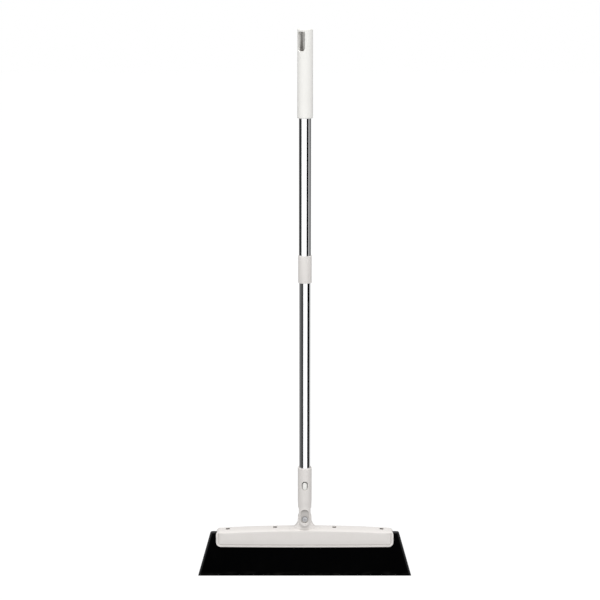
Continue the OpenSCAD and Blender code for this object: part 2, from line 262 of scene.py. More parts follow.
def face_outwards(piece):
    """Turns every face of a closed piece outwards."""
    work_on(piece)
    bpy.ops.object.mode_set(mode="EDIT")
    bpy.ops.mesh.select_all(action="SELECT")
    bpy.ops.mesh.normals_make_consistent(inside=False)
    bpy.ops.object.mode_set(mode="OBJECT")


def select_points(piece, wanted):
    """In edit mode, selects only the points whose number is wanted."""
    bpy.ops.mesh.select_mode(type="VERT")
    bpy.ops.mesh.select_all(action="DESELECT")
    skin = bmesh.from_edit_mesh(piece.data)
    for vertex in skin.verts:
        if vertex.index in wanted:
            vertex.select = True
    skin.select_flush(True)
    bmesh.update_edit_mesh(piece.data)


def draw_rings(name, rings, ends="capped"):
    """Extrudes a circle through a list of rings with the same number of points.

    ends is "capped" for a closed body and "joined" where the last ring meets the first.
    """
    count = len(rings[0])
    select_nothing()
    bpy.ops.mesh.primitive_circle_add(vertices=count)
    piece = bpy.context.object
    piece.name = name
    for vertex, place in zip(piece.data.vertices, rings[0]):
        vertex.co = place
    bpy.ops.object.mode_set(mode="EDIT")
    bpy.ops.mesh.select_mode(type="VERT")
    bpy.ops.mesh.select_all(action="SELECT")
    for before, after in zip(rings, rings[1:]):
        nearest = KDTree(count)
        for number, place in enumerate(before):
            nearest.insert(place, number)
        nearest.balance()
        bpy.ops.mesh.extrude_region_move()
        skin = bmesh.from_edit_mesh(piece.data)
        for vertex in skin.verts:
            if vertex.select:
                vertex.co = after[nearest.find(vertex.co)[1]]
        bmesh.update_edit_mesh(piece.data)
    total = count * len(rings)
    first_ring = set(range(count))
    last_ring = set(range(total - count, total))
    if ends == "joined":
        select_points(piece, first_ring | last_ring)
        bpy.ops.mesh.bridge_edge_loops()
    else:
        for ring in (last_ring, first_ring):
            select_points(piece, ring)
            bpy.ops.mesh.edge_face_add()
    bpy.ops.object.mode_set(mode="OBJECT")
    face_outwards(piece)
    return piece


def upright_ring(radius, z, count=96):
    """A level circle round the pole's axis."""
    turns = [2 * math.pi * step / count for step in range(count)]
    return [Vector((radius * math.cos(turn), radius * math.sin(turn), z)) for turn in turns]


def cross_ring(radius, y, x=0.0, z=0.0, count=64):
    """A circle round an axis that runs from front to back."""
    turns = [2 * math.pi * step / count for step in range(count)]
    return [Vector((x + radius * math.cos(turn), y, z + radius * math.sin(turn))) for turn in turns]


def arc(centre_a, centre_b, radius, start, stop, steps):
    """Points along an arc in a plane, with its angles in degrees."""
    turns = [math.radians(start + (stop - start) * step / steps) for step in range(steps + 1)]
    return [(centre_a + radius * math.cos(turn), centre_b + radius * math.sin(turn)) for turn in turns]


def turn_upright(name, profile, ends="capped", count=96):
    """Turns a profile of (radius, height) round the pole's axis."""
    return draw_rings(name, [upright_ring(radius, z, count) for radius, z in profile], ends)


def turn_across(name, profile, x=0.0, z=0.0, count=64):
    """Turns a profile of (radius, y) round an axis that runs from front to back."""
    return draw_rings(name, [cross_ring(radius, y, x, z, count) for radius, y in profile])


def without_repeats(outline):
    """A closed outline without the points that lie on their neighbour, as where two arcs meet."""
    kept = []
    for point in outline:
        if not kept or math.dist(point, kept[-1]) > 1e-7:
            kept.append(point)
    if math.dist(kept[0], kept[-1]) < 1e-7:
        kept.pop()
    return kept


def slot_outline(width, low, high, low_round=None, high_round=None, steps=10):
    """An upright slot seen from the front, as (x, z) points; its corners may be tighter than half round."""
    low_round = low_round or width / 2
    high_round = high_round or width / 2
    half = width / 2
    return without_repeats(
        arc(half - low_round, low + low_round, low_round, -90, 0, steps)
        + arc(half - high_round, high - high_round, high_round, 0, 90, steps)
        + arc(high_round - half, high - high_round, high_round, 90, 180, steps)
        + arc(low_round - half, low + low_round, low_round, 180, 270, steps)
    )


def standing(outline, y):
    """An outline of (x, z) points as a ring at one depth."""
    return [Vector((x, y, z)) for x, z in outline]


def cut(piece, tool, operation="DIFFERENCE"):
    """Cuts, joins or trims a piece with a tool, and puts the tool away."""
    apply_modifier(piece, "BOOLEAN", operation=operation, solver="EXACT", object=tool)
    bpy.data.objects.remove(tool)


def round_edges(piece, grain, passes):
    """Rebuilds a piece in even small faces and relaxes them, which rounds its edges as a mould does."""
    work_on(piece)
    piece.data.remesh_voxel_size = grain
    bpy.ops.object.voxel_remesh()
    apply_modifier(piece, "SMOOTH", factor=0.5, iterations=passes)


def hand_over(piece, body, material, nodes=(), smooth_angle=None):
    """Finishes a piece: shading, material, and the body and frame nodes that it stands for."""
    work_on(piece)
    bpy.ops.object.transform_apply(location=True, rotation=True, scale=True)
    if smooth_angle is None:
        bpy.ops.object.shade_smooth()
    else:
        bpy.ops.object.shade_smooth_by_angle(angle=smooth_angle)
    piece.data.materials.clear()
    piece.data.materials.append(material)
    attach(piece, body)
    if nodes:
        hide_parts(*nodes)
    select_nothing()


def finish_frame_node(node, material):
    """Gives a frame node its finish and leaves its shape alone."""
    for holder in frame["nodes"][node].material_slots:
        holder.link = "OBJECT"
        holder.material = material


# ---------------------------------------------------------------------------
# Material effects as node groups
# ---------------------------------------------------------------------------


def new_group(name, inputs, outputs):
    """A shader node group with named sockets: inputs as (name, type, default), outputs as (name, type)."""
    group = bpy.data.node_groups.new(name, "ShaderNodeTree")
    for title, kind, default in inputs:
        socket = group.interface.new_socket(title, in_out="INPUT", socket_type=kind)
        socket.default_value = default
    for title, kind in outputs:
        group.interface.new_socket(title, in_out="OUTPUT", socket_type=kind)
    group.nodes.new("NodeGroupInput").name = "In"
    group.nodes.new("NodeGroupOutput").name = "Out"
    return group


def add_node(tree, kind, **values):
    """Adds a node and sets its named attributes."""
    node = tree.nodes.new(kind)
    for name, value in values.items():
        setattr(node, name, value)
    return node


def math_node(tree, operation, first, second):
    """A Math node whose two inputs are sockets or numbers."""
    node = add_node(tree, "ShaderNodeMath", operation=operation)
    for socket, value in zip(node.inputs, (first, second)):
        if isinstance(value, (int, float)):
            socket.default_value = value
        else:
            tree.links.new(value, socket)
    return node.outputs[0]


def remap(tree, value, low, high, to_low=0.0, to_high=1.0):
    """Maps a value from one span to another and keeps it inside the second."""
    node = add_node(tree, "ShaderNodeMapRange")
    tree.links.new(value, node.inputs["Value"])
    for name, number in (("From Min", low), ("From Max", high), ("To Min", to_low), ("To Max", to_high)):
        node.inputs[name].default_value = number
    return node.outputs["Result"]


def mix_colours(tree, factor, first, second):
    """Mixes two colours, each a socket or a colour value, by a factor socket."""
    node = add_node(tree, "ShaderNodeMix", data_type="RGBA")
    tree.links.new(factor, node.inputs["Factor"])
    for name, value in (("A", first), ("B", second)):
        socket = [s for s in node.inputs if s.name == name and s.type == "RGBA"][0]
        if isinstance(value, bpy.types.NodeSocket):
            tree.links.new(value, socket)
        else:
            socket.default_value = (*value[:3], 1.0)
    return [s for s in node.outputs if s.type == "RGBA"][0]


def noise(tree, scale, detail=2.0, roughness=0.5, stretch=(1.0, 1.0, 1.0)):
    """Noise over the piece's own coordinates in metres, stretched along an axis where asked."""
    place = add_node(tree, "ShaderNodeTexCoord")
    mapping = add_node(tree, "ShaderNodeMapping")
    mapping.inputs["Scale"].default_value = stretch
    texture = add_node(tree, "ShaderNodeTexNoise")
    tree.links.new(place.outputs["Object"], mapping.inputs["Vector"])
    tree.links.new(mapping.outputs["Vector"], texture.inputs["Vector"])
    texture.inputs["Detail"].default_value = detail
    texture.inputs["Roughness"].default_value = roughness
    if isinstance(scale, (int, float)):
        texture.inputs["Scale"].default_value = scale
    else:
        tree.links.new(scale, texture.inputs["Scale"])
    return texture.outputs["Fac"]


def make_mould_grain():
    """Spark-eroded mould texture: fine grain over a slow waviness, as a height."""
    group = new_group(
        "Mould grain",
        [("Grain Scale", "NodeSocketFloat", 2600.0), ("Wave Scale", "NodeSocketFloat", 60.0),
         ("Wave Share", "NodeSocketFloat", 0.3)],
        [("Height", "NodeSocketFloat")],
    )
    source = group.nodes["In"].outputs
    grain = noise(group, source["Grain Scale"], detail=3.0, roughness=0.6)
    wave = noise(group, source["Wave Scale"], detail=1.0)
    slow = math_node(group, "MULTIPLY", wave, source["Wave Share"])
    total = math_node(group, "ADD", grain, slow)
    group.links.new(total, group.nodes["Out"].inputs["Height"])
    return group


def make_uneven_gloss():
    """Roughness that wanders round a base value, with handling smears at a larger scale."""
    group = new_group(
        "Uneven gloss",
        [("Base", "NodeSocketFloat", 0.4), ("Spread", "NodeSocketFloat", 0.1),
         ("Scale", "NodeSocketFloat", 40.0)],
        [("Roughness", "NodeSocketFloat")],
    )
    source = group.nodes["In"].outputs
    patches = noise(group, source["Scale"], detail=5.0, roughness=0.62)
    centred = math_node(group, "SUBTRACT", patches, 0.5)
    spread = math_node(group, "MULTIPLY", centred, source["Spread"])
    doubled = math_node(group, "MULTIPLY", spread, 2.0)
    total = math_node(group, "ADD", source["Base"], doubled)
    group.links.new(total, group.nodes["Out"].inputs["Roughness"])
    return group


def make_edge_and_soil():
    """Colour with rubbed edges and a faint film of soil in its hollows and patches."""
    group = new_group(
        "Edge and soil",
        [("Colour", "NodeSocketColor", (0.8, 0.8, 0.8, 1.0)),
         ("Edge Colour", "NodeSocketColor", (1.0, 1.0, 1.0, 1.0)),
         ("Edge Amount", "NodeSocketFloat", 0.3), ("Soil Colour", "NodeSocketColor", (0.5, 0.46, 0.4, 1.0)),
         ("Soil Amount", "NodeSocketFloat", 0.1), ("Hollow Amount", "NodeSocketFloat", 0.5)],
        [("Colour", "NodeSocketColor")],
    )
    source = group.nodes["In"].outputs
    shape = add_node(group, "ShaderNodeNewGeometry")
    rub = noise(group, 220.0, detail=3.0)
    ridge = remap(group, shape.outputs["Pointiness"], 0.515, 0.60)
    ridge = math_node(group, "MULTIPLY", ridge, rub)
    ridge = math_node(group, "MULTIPLY", ridge, source["Edge Amount"])
    hollow = remap(group, shape.outputs["Pointiness"], 0.49, 0.42)
    film = remap(group, noise(group, 28.0, detail=6.0, roughness=0.7), 0.5, 0.8)
    hollow = math_node(group, "MULTIPLY", hollow, source["Hollow Amount"])
    film = math_node(group, "MULTIPLY", film, source["Soil Amount"])
    soil = math_node(group, "MAXIMUM", hollow, film)
    soiled = mix_colours(group, soil, source["Colour"], source["Soil Colour"])
    worn = mix_colours(group, ridge, soiled, source["Edge Colour"])
    group.links.new(worn, group.nodes["Out"].inputs["Colour"])
    return group


def make_drawn_lines():
    """Fine lines drawn along a tube, and a few long scratches, as a height and a mask."""
    group = new_group(
        "Drawn lines",
        [("Line Scale", "NodeSocketFloat", 900.0), ("Scratch Amount", "NodeSocketFloat", 0.5)],
        [("Height", "NodeSocketFloat"), ("Mask", "NodeSocketFloat")],
    )
    source = group.nodes["In"].outputs
    lines = noise(group, source["Line Scale"], detail=2.0, stretch=(1.0, 1.0, 0.012))
    scratch = noise(group, 260.0, detail=4.0, roughness=0.7, stretch=(1.0, 1.0, 0.05))
    scratch = remap(group, scratch, 0.66, 0.70)
    scratch = math_node(group, "MULTIPLY", scratch, source["Scratch Amount"])
    total = math_node(group, "SUBTRACT", lines, scratch)
    group.links.new(total, group.nodes["Out"].inputs["Height"])
    group.links.new(scratch, group.nodes["Out"].inputs["Mask"])
    return group


GROUP_MAKERS = {
    "Mould grain": make_mould_grain,
    "Uneven gloss": make_uneven_gloss,
    "Edge and soil": make_edge_and_soil,
    "Drawn lines": make_drawn_lines,
}


def place_group(tree, name, **values):
    """Places a shared effect in a material with its own values, and makes it first where needed."""
    node = add_node(tree, "ShaderNodeGroup")
    node.node_tree = bpy.data.node_groups.get(name) or GROUP_MAKERS[name]()
    for title, value in values.items():
        node.inputs[title.replace("_", " ")].default_value = value
    return node


# ---------------------------------------------------------------------------
# Materials
# ---------------------------------------------------------------------------


def start_material(name):
    """An empty node material with a Principled shader; returns (material, tree, shader)."""
    material = bpy.data.materials.new(name)
    material.use_nodes = True
    tree = material.node_tree
    tree.nodes.clear()
    shader = add_node(tree, "ShaderNodeBsdfPrincipled")
    out = add_node(tree, "ShaderNodeOutputMaterial")
    tree.links.new(shader.outputs["BSDF"], out.inputs["Surface"])
    return material, tree, shader


def add_bump(tree, shader, height, depth, strength):
    """Feeds a height to the shader's normal, with its depth in metres."""
    bump = add_node(tree, "ShaderNodeBump")
    bump.inputs["Strength"].default_value = strength
    bump.inputs["Distance"].default_value = depth
    tree.links.new(height, bump.inputs["Height"])
    tree.links.new(bump.outputs["Normal"], shader.inputs["Normal"])


def add_wear(tree, shader, colour, edge, soil, **amounts):
    """Colours the shader with a base colour, a rubbed edge colour and a soil colour."""
    wear = place_group(tree, "Edge and soil", Colour=(*colour, 1.0), Edge_Colour=(*edge, 1.0),
                       Soil_Colour=(*soil, 1.0), **amounts)
    tree.links.new(wear.outputs["Colour"], shader.inputs["Base Color"])
    return wear.outputs["Colour"]


def add_gloss(tree, shader, base, spread, scale):
    """Gives the shader a roughness that wanders round its base value."""
    gloss = place_group(tree, "Uneven gloss", Base=base, Spread=spread, Scale=scale)
    tree.links.new(gloss.outputs["Roughness"], shader.inputs["Roughness"])


def add_grain(tree, shader, depth, strength, **scales):
    """Gives the shader a mould grain as a bump of a depth in metres."""
    grain = place_group(tree, "Mould grain", **scales)
    add_bump(tree, shader, grain.outputs["Height"], depth, strength)


def moulded_plastic(name, colour, base_roughness, soil):
    """Satin injection-moulded plastic with a fine mould grain, uneven gloss and slightly rubbed edges."""
    material, tree, shader = start_material(name)
    edge = [min(1.0, 1.12 * part) for part in colour]
    film = (0.5 * colour[0], 0.47 * colour[1], 0.43 * colour[2])
    add_wear(tree, shader, colour, edge, film, Edge_Amount=0.35, Soil_Amount=soil, Hollow_Amount=0.55)
    add_gloss(tree, shader, base_roughness, 0.16, 55.0)
    add_grain(tree, shader, 0.00006, 0.35, Grain_Scale=2400.0, Wave_Scale=45.0, Wave_Share=0.5)
    shader.inputs["Specular IOR Level"].default_value = 0.42
    return material


def object_axes(tree):
    """The piece's own coordinates, as the three sockets X, Y and Z."""
    place = add_node(tree, "ShaderNodeTexCoord")
    parts = add_node(tree, "ShaderNodeSeparateXYZ")
    tree.links.new(place.outputs["Object"], parts.inputs["Vector"])
    return parts.outputs["X"], parts.outputs["Y"], parts.outputs["Z"]


def all_of(tree, *masks):
    """The product of masks, which is 1 where all of them are."""
    total = masks[0]
    for mask in masks[1:]:
        total = math_node(tree, "MULTIPLY", total, mask)
    return total


def tint(material, mask, colour):
    """Turns a material's colour to another one where a mask is 1."""
    tree = material.node_tree
    base = [node for node in tree.nodes if node.type == "BSDF_PRINCIPLED"][0].inputs["Base Color"]
    tree.links.new(mix_colours(tree, mask, base.links[0].from_socket, colour), base)


def button_plastic(finish):
    """Bright white plastic of the release button, with painted shade, near black, where it stands inside
    the tube.
    """
    material = moulded_plastic("button_plastic", tuple(finish.grip_colour), 0.36, 0.03)
    tree = material.node_tree
    _x, y, _z = object_axes(tree)
    # Painted shade: the button's sides behind its face, inside the tube, are darkened to near black.
    tint(material, remap(tree, y, -0.0125, -0.0115), (0.03, 0.03, 0.03))
    return material


def grip_plastic(finish):
    """Bright white plastic, with painted shade on the walls deep inside the hang slot."""
    material = moulded_plastic("grip_plastic", tuple(finish.grip_colour), 0.42, 0.05)
    tree = material.node_tree
    x, y, z = object_axes(tree)
    top = low_high("handle_grip", 2)[1]
    squares = math_node(tree, "ADD", math_node(tree, "POWER", x, 2.0), math_node(tree, "POWER", y, 2.0))
    from_axis = math_node(tree, "SQRT", squares, 0.0)
    slope = math_node(tree, "MULTIPLY", math_node(tree, "SUBTRACT", z, top - 0.026), 0.06)
    deep = remap(tree, math_node(tree, "ADD", from_axis, slope), 0.0105, 0.0085)
    below_cap = remap(tree, z, top - 0.0045, top - 0.0065)
    above_foot = remap(tree, z, top - 0.049, top - 0.047)
    # Painted shade: the walls deep inside the hang slot are darkened to grey where little light reaches
    # them.
    tint(material, all_of(tree, deep, below_cap, above_foot), (0.24, 0.225, 0.21))
    return material


def body_plastic(finish):
    """Warm off-white plastic of the collar, the neck and the covers, with painted shade on the pivot
    recess's floor.
    """
    material = moulded_plastic("body_plastic", tuple(finish.body_colour), 0.46, 0.07)
    tree = material.node_tree
    x, y, z = object_axes(tree)
    neck = bpy.context.scene.sweeper_neck
    floor = -neck.recess_floor
    low = PIVOT_Z - neck.recess_width / 2
    high = low + neck.recess_height
    shade = all_of(
        tree,
        remap(tree, z, high - 0.009, high - 0.0005, 0.48, 0.95),
        remap(tree, y, floor - 0.0015, floor - 0.0007),
        remap(tree, y, floor + 0.0014, floor + 0.002, 1.0, 0.0),
        remap(tree, math_node(tree, "ABSOLUTE", x, 0.0), 0.0086, 0.0091, 1.0, 0.0),
        remap(tree, z, low - 0.0009, low - 0.0001),
        remap(tree, z, high + 0.0002, high + 0.001, 1.0, 0.0),
    )
    # Painted shade: the pivot recess's floor is darkened, most of all under its top edge, where that edge's
    # shadow falls.
    tint(material, shade, (0.29, 0.275, 0.26))
    return material


def inner_plastic(_finish):
    """Plain grey plastic of the lock's inner pieces."""
    return moulded_plastic("inner_plastic", (0.34, 0.34, 0.345), 0.5, 0.1)


def polished_chrome(finish):
    """Bright plating over a drawn tube: mirror gloss with fine lines along it and light smears."""
    material, tree, shader = start_material("polished_chrome")
    lines = place_group(tree, "Drawn lines", Line_Scale=1100.0, Scratch_Amount=0.35)
    gloss = place_group(tree, "Uneven gloss", Base=0.075, Spread=0.05, Scale=30.0)
    rough = math_node(tree, "MULTIPLY", lines.outputs["Mask"], 0.18)
    rough = math_node(tree, "ADD", gloss.outputs["Roughness"], rough)
    tree.links.new(rough, shader.inputs["Roughness"])
    clouds = remap(tree, noise(tree, 14.0, detail=3.0), 0.3, 0.7)
    plating = tuple(finish.chrome_colour)
    thin = (0.95 * plating[0], 0.95 * plating[1], 0.965 * plating[2])
    tree.links.new(mix_colours(tree, clouds, plating, thin), shader.inputs["Base Color"])
    shader.inputs["Metallic"].default_value = 1.0
    add_bump(tree, shader, lines.outputs["Height"], 0.000004, 0.25)
    return material


def zinc_steel(finish):
    """Zinc-plated steel with a dull, cloudy gloss."""
    material, tree, shader = start_material("zinc_steel")
    add_wear(tree, shader, tuple(finish.steel_colour), (0.85, 0.85, 0.86), (0.25, 0.24, 0.22),
             Edge_Amount=0.7, Soil_Amount=0.35)
    add_gloss(tree, shader, 0.33, 0.2, 260.0)
    add_grain(tree, shader, 0.00002, 0.3, Grain_Scale=5200.0, Wave_Scale=500.0, Wave_Share=0.8)
    shader.inputs["Metallic"].default_value = 1.0
    return material


def blade_rubber(finish):
    """Matt black rubber with a fine skin, greyed a little towards the edge that sweeps."""
    material, tree, shader = start_material("blade_rubber")
    low, high = low_high("blade", 2)
    x, _y, z = object_axes(tree)
    worn = add_wear(tree, shader, tuple(finish.rubber_colour), (0.02, 0.02, 0.021), (0.006, 0.0058, 0.0055),
                    Edge_Amount=0.5, Soil_Amount=0.12, Hollow_Amount=0.0)
    # Painted highlights: the slanted ends and the top are greyed where their chamfered and rounded edges
    # would catch the light.
    foot_half = low_high("blade", 0)[1]
    lean = (foot_half - BLADE_TOP_HALF) / (high - low)
    side = math_node(tree, "ABSOLUTE", x, 0.0)
    drift = math_node(tree, "MULTIPLY", z, lean)
    beyond = math_node(tree, "SUBTRACT", math_node(tree, "ADD", side, drift), foot_half)
    end_highlight = remap(tree, beyond, -0.0052, -0.0004)
    top_highlight = remap(tree, z, high - 0.0022, high - 0.0008)
    edge_highlights = math_node(tree, "MAXIMUM", end_highlight, top_highlight)
    skin = mix_colours(tree, edge_highlights, worn, (0.042, 0.042, 0.043))
    streaks = noise(tree, 130.0, detail=5.0, roughness=0.7, stretch=(0.35, 1.0, 1.0))
    streaks = remap(tree, streaks, 0.45, 0.75, 0.0, 0.3)
    dust = math_node(tree, "MULTIPLY", remap(tree, z, low + 0.012, low), streaks)
    tree.links.new(mix_colours(tree, dust, skin, (0.05, 0.047, 0.043)), shader.inputs["Base Color"])
    add_gloss(tree, shader, 0.62, 0.14, 70.0)
    add_grain(tree, shader, 0.00008, 0.4, Grain_Scale=1500.0, Wave_Scale=90.0, Wave_Share=0.8)
    shader.inputs["Specular IOR Level"].default_value = 0.008
    return material


MATERIAL_MAKERS = {
    "button_plastic": button_plastic,
    "grip_plastic": grip_plastic,
    "body_plastic": body_plastic,
    "inner_plastic": inner_plastic,
    "polished_chrome": polished_chrome,
    "zinc_steel": zinc_steel,
    "blade_rubber": blade_rubber,
}


def material_named(name):
    """A material of the sweeper, made on first use."""
    return bpy.data.materials.get(name) or MATERIAL_MAKERS[name](bpy.context.scene.sweeper_finish)


# ---------------------------------------------------------------------------
# Pole
# ---------------------------------------------------------------------------


class SWEEPER_OT_grip(Operator):
    """Models the white grip with its hang slot"""

    bl_idname = "sweeper.grip"
    bl_label = "Grip"

    def execute(self, context):
        pole = context.scene.sweeper_pole
        foot, top = low_high("handle_grip", 2)
        foot_radius = radius_of("handle_grip")
        bore = radius_of("upper_tube") + 0.00005
        bore_top = low_high("upper_tube", 2)[1]
        soft_foot = pole.grip_foot_round
        soft_top = pole.grip_top_round
        profile = [(bore, bore_top), (bore, foot + 0.0006), (bore + 0.0006, foot)]
        profile += arc(foot_radius - soft_foot, foot + soft_foot, soft_foot, -90, 0, 8)
        profile += arc(pole.grip_top_radius - soft_top, top - soft_top, soft_top, 0, 90, 10)
        profile += [(0.55 * pole.grip_top_radius, top), (0.2 * pole.grip_top_radius, top)]
        grip = turn_upright("grip", profile)
        slot_top = top - pole.slot_below_top
        outline = slot_outline(pole.slot_width, slot_top - pole.slot_height, slot_top, 0.006, 0.002)
        tool = draw_rings("slot_tool", [standing(outline, -0.03), standing(outline, 0.03)])
        tool.rotation_euler.z = -pole.slot_turn
        cut(grip, tool)
        round_edges(grip, 0.0008, 5)
        hand_over(grip, "upper_pole", material_named("grip_plastic"), ["handle_grip"])
        return {"FINISHED"}


class SWEEPER_OT_tubes(Operator):
    """Models the two chrome tubes of the telescopic pole"""

    bl_idname = "sweeper.tubes"
    bl_label = "Tubes"

    def execute(self, context):
        wall = context.scene.sweeper_pole.tube_wall
        for node, body, name in (("upper_tube", "upper_pole", "outer_tube"),
                                 ("lower_tube", "lower_pole", "inner_tube")):
            low, high = low_high(node, 2)
            radius = radius_of(node)
            lead = wall / 3
            profile = [
                (radius - wall, low), (radius - lead, low), (radius, low + lead),
                (radius, high - lead), (radius - lead, high), (radius - wall, high),
            ]
            tube = turn_upright(name, profile, ends="joined", count=128)
            if node == "lower_tube":
                self.pierce_for_button(tube)
            hand_over(tube, body, material_named("polished_chrome"),
                      [node], math.radians(30))
        return {"FINISHED"}

    def pierce_for_button(self, tube):
        """Cuts the button's hole through the front wall of the tube."""
        low, high = BUTTON_SPAN_Z
        outline = slot_outline(BUTTON_WIDTH + 0.003, low - 0.0008, high + 0.0022)
        cut(tube, draw_rings("hole_tool", [standing(outline, -0.02), standing(outline, -0.001)]))


class SWEEPER_OT_collar(Operator):
    """Models the collar of the twist lock with the seat of the ring in its foot"""

    bl_idname = "sweeper.collar"
    bl_label = "Collar"

    def execute(self, context):
        soft = context.scene.sweeper_pole.collar_round
        low, high = low_high("lock_collar", 2)
        outer = radius_of("lock_collar")
        upper_bore = radius_of("upper_tube") + 0.00005
        ring_low, ring_top = low_high("guide_ring", 2)
        ring = radius_of("guide_ring")
        mouth = radius_of("lower_tube") + 0.0003
        profile = [(upper_bore, high - 0.0004), (upper_bore, ring_top), (ring, ring_top), (ring, ring_low),
                   (mouth, ring_low), (mouth, low + 0.0004), (mouth + 0.0004, low)]
        profile += arc(outer - soft, low + soft, soft, -90, 0, 5)
        profile += arc(outer - soft, high - soft, soft, 0, 90, 5)
        profile += [(upper_bore + 0.0004, high)]
        collar = turn_upright("collar", profile, ends="joined")
        hand_over(collar, "upper_pole", material_named("body_plastic"),
                  ["lock_collar"], math.radians(35))
        return {"FINISHED"}


# ---------------------------------------------------------------------------
# Neck, button and pivot
# ---------------------------------------------------------------------------

NECK_RADIUS = radius_of("neck_socket")
NECK_TOP = low_high("neck_socket", 2)[1]
TUBE_FOOT = low_high("lower_tube", 2)[0]
BUTTON_FLANGE_Z = low_high("release_button", 2)
BUTTON_MIDDLE = (BUTTON_FLANGE_Z[0] + BUTTON_FLANGE_Z[1]) / 2
BUTTON_FACE_Y, BUTTON_BACK_Y = low_high("release_button", 1)
BUTTON_WIDTH = 0.0096
BUTTON_HEIGHT = 0.017
BUTTON_SPAN_Z = (BUTTON_MIDDLE - BUTTON_HEIGHT / 2, BUTTON_MIDDLE + BUTTON_HEIGHT / 2)


class SWEEPER_OT_neck(Operator):
    """Models the neck: a socket for the tube, the button's window and a fork for the head"""

    bl_idname = "sweeper.neck"
    bl_label = "Neck"

    def execute(self, context):
        neck = context.scene.sweeper_neck
        waist_z = PIVOT_Z + neck.waist_above_pivot
        reach = 0.015
        rim = 0.0012
        foot = PIVOT_Z - NECK_RADIUS - 0.003
        profile = [(0.3 * NECK_RADIUS, foot), (NECK_RADIUS, foot)]
        for step in range(13):
            turn = math.pi * (step / 6 - 1)
            dip = neck.waist_dip * (1 + math.cos(turn)) / 2
            profile.append((NECK_RADIUS - dip, waist_z + reach * (step / 6 - 1)))
        profile += arc(NECK_RADIUS - rim, NECK_TOP - rim, rim, 0, 90, 5)
        profile += [(0.3 * NECK_RADIUS, NECK_TOP)]
        body = turn_upright("neck", profile)
        self.open_fork(body, neck)
        self.round_lower_end(body)
        self.bore_socket(body)
        self.scoop_window(body, neck)
        self.sink_pivot(body, neck)
        round_edges(body, 0.0006, 3)
        hand_over(body, "lower_pole", material_named("body_plastic"), ["neck_socket"])
        return {"FINISHED"}

    def round_lower_end(self, body):
        """Trims the neck's lower end to half a circle round the pivot."""
        side = NECK_RADIUS + 0.002
        outline = arc(0.0, PIVOT_Z, NECK_RADIUS, 180, 360, 40)
        above = NECK_TOP + 0.02
        outline += [(side, PIVOT_Z + 0.002), (side, above), (-side, above), (-side, PIVOT_Z + 0.002)]
        cut(body, draw_rings("end_tool", [standing(outline, -0.03), standing(outline, 0.03)]), "INTERSECT")

    def bore_socket(self, body):
        """Bores the socket that the lower tube stands in, with a lead-in at its mouth."""
        bore = radius_of("lower_tube") + 0.0001
        profile = [(bore, TUBE_FOOT - 0.002), (bore, NECK_TOP - 0.0008), (bore + 0.0008, NECK_TOP),
                   (bore + 0.0008, NECK_TOP + 0.002)]
        cut(body, turn_upright("bore_tool", profile))

    def open_fork(self, body, neck):
        """Opens the gap between the two ears."""
        foot = PIVOT_Z - NECK_RADIUS - 0.006
        top = PIVOT_Z + neck.fork_height
        outline = slot_outline(2 * neck.fork_gap, foot, top, 0.0005, 0.003)
        rings = [[Vector((x, along, z)) for along, z in outline] for x in (-0.02, 0.02)]
        cut(body, draw_rings("fork_tool", rings))

    def scoop_window(self, body, neck):
        """Scoops the window, deep under its top and running out to nothing below, and opens the hole."""
        low = BUTTON_MIDDLE - neck.window_height / 2
        high = BUTTON_MIDDLE + neck.window_height / 2
        outline = slot_outline(neck.window_width, low, high, steps=16)
        floor = []
        for x, z in outline:
            upward = (z - low) / (high - low)
            floor.append(Vector((0.9 * x, 0.004 * min(1.0, 1.9 * upward) - 0.0004 - NECK_RADIUS,
                                 BUTTON_MIDDLE + 0.93 * (z - BUTTON_MIDDLE))))
        rings = [standing(outline, -0.02), standing(outline, -NECK_RADIUS - 0.0006), floor]
        cut(body, draw_rings("scoop_tool", rings))
        hole = slot_outline(BUTTON_WIDTH + 0.0024, BUTTON_SPAN_Z[0] - 0.0005, BUTTON_SPAN_Z[1] + 0.0015)
        cut(body, draw_rings("hole_tool", [standing(hole, -0.02), standing(hole, -0.001)]))

    def sink_pivot(self, body, neck):
        """Sinks the recess of the pivot screw, the pocket of its nut and the hole between them."""
        low = PIVOT_Z - neck.recess_width / 2
        outline = slot_outline(neck.recess_width, low, low + neck.recess_height, steps=16)
        rings = [standing(outline, -0.02), standing(outline, -neck.recess_floor)]
        cut(body, draw_rings("recess_tool", rings))
        pocket = 0.0075
        cut(body, turn_across("pocket_tool", [(pocket, neck.recess_floor), (pocket, 0.02)], z=PIVOT_Z))
        shank = 0.003
        cut(body, turn_across("shank_tool", [(shank, -0.012), (shank, 0.012)], z=PIVOT_Z))


class SWEEPER_OT_button(Operator):
    """Models the release button with its flange and softly crowned face"""

    bl_idname = "sweeper.button"
    bl_label = "Release button"

    def execute(self, context):
        flange_low, flange_high = BUTTON_FLANGE_Z
        flange_half = low_high("release_button", 0)[1]
        flange_front = BUTTON_BACK_Y - 0.002
        flange = slot_outline(2 * flange_half, flange_low, flange_high, steps=12)
        rings = [standing(flange, BUTTON_BACK_Y), standing(flange, flange_front)]
        soft = 0.0016
        for inset, y in [(0.0, flange_front)] + [
            (soft * (1 - math.cos(turn)), BUTTON_FACE_Y + soft * 1.25 - soft * math.sin(turn))
            for turn in (0.0, 0.35, 0.7, 1.05, 1.35, 1.57)
        ] + [(0.0024, BUTTON_FACE_Y + 0.0001), (0.0036, BUTTON_FACE_Y)]:
            outline = slot_outline(BUTTON_WIDTH - 2 * inset, BUTTON_SPAN_Z[0] + inset,
                                   BUTTON_SPAN_Z[1] - inset, steps=12)
            rings.append(standing(outline, y))
        button = draw_rings("release_button_cap", rings)
        hand_over(button, "button", material_named("button_plastic"),
                  ["release_button"], math.radians(40))
        return {"FINISHED"}


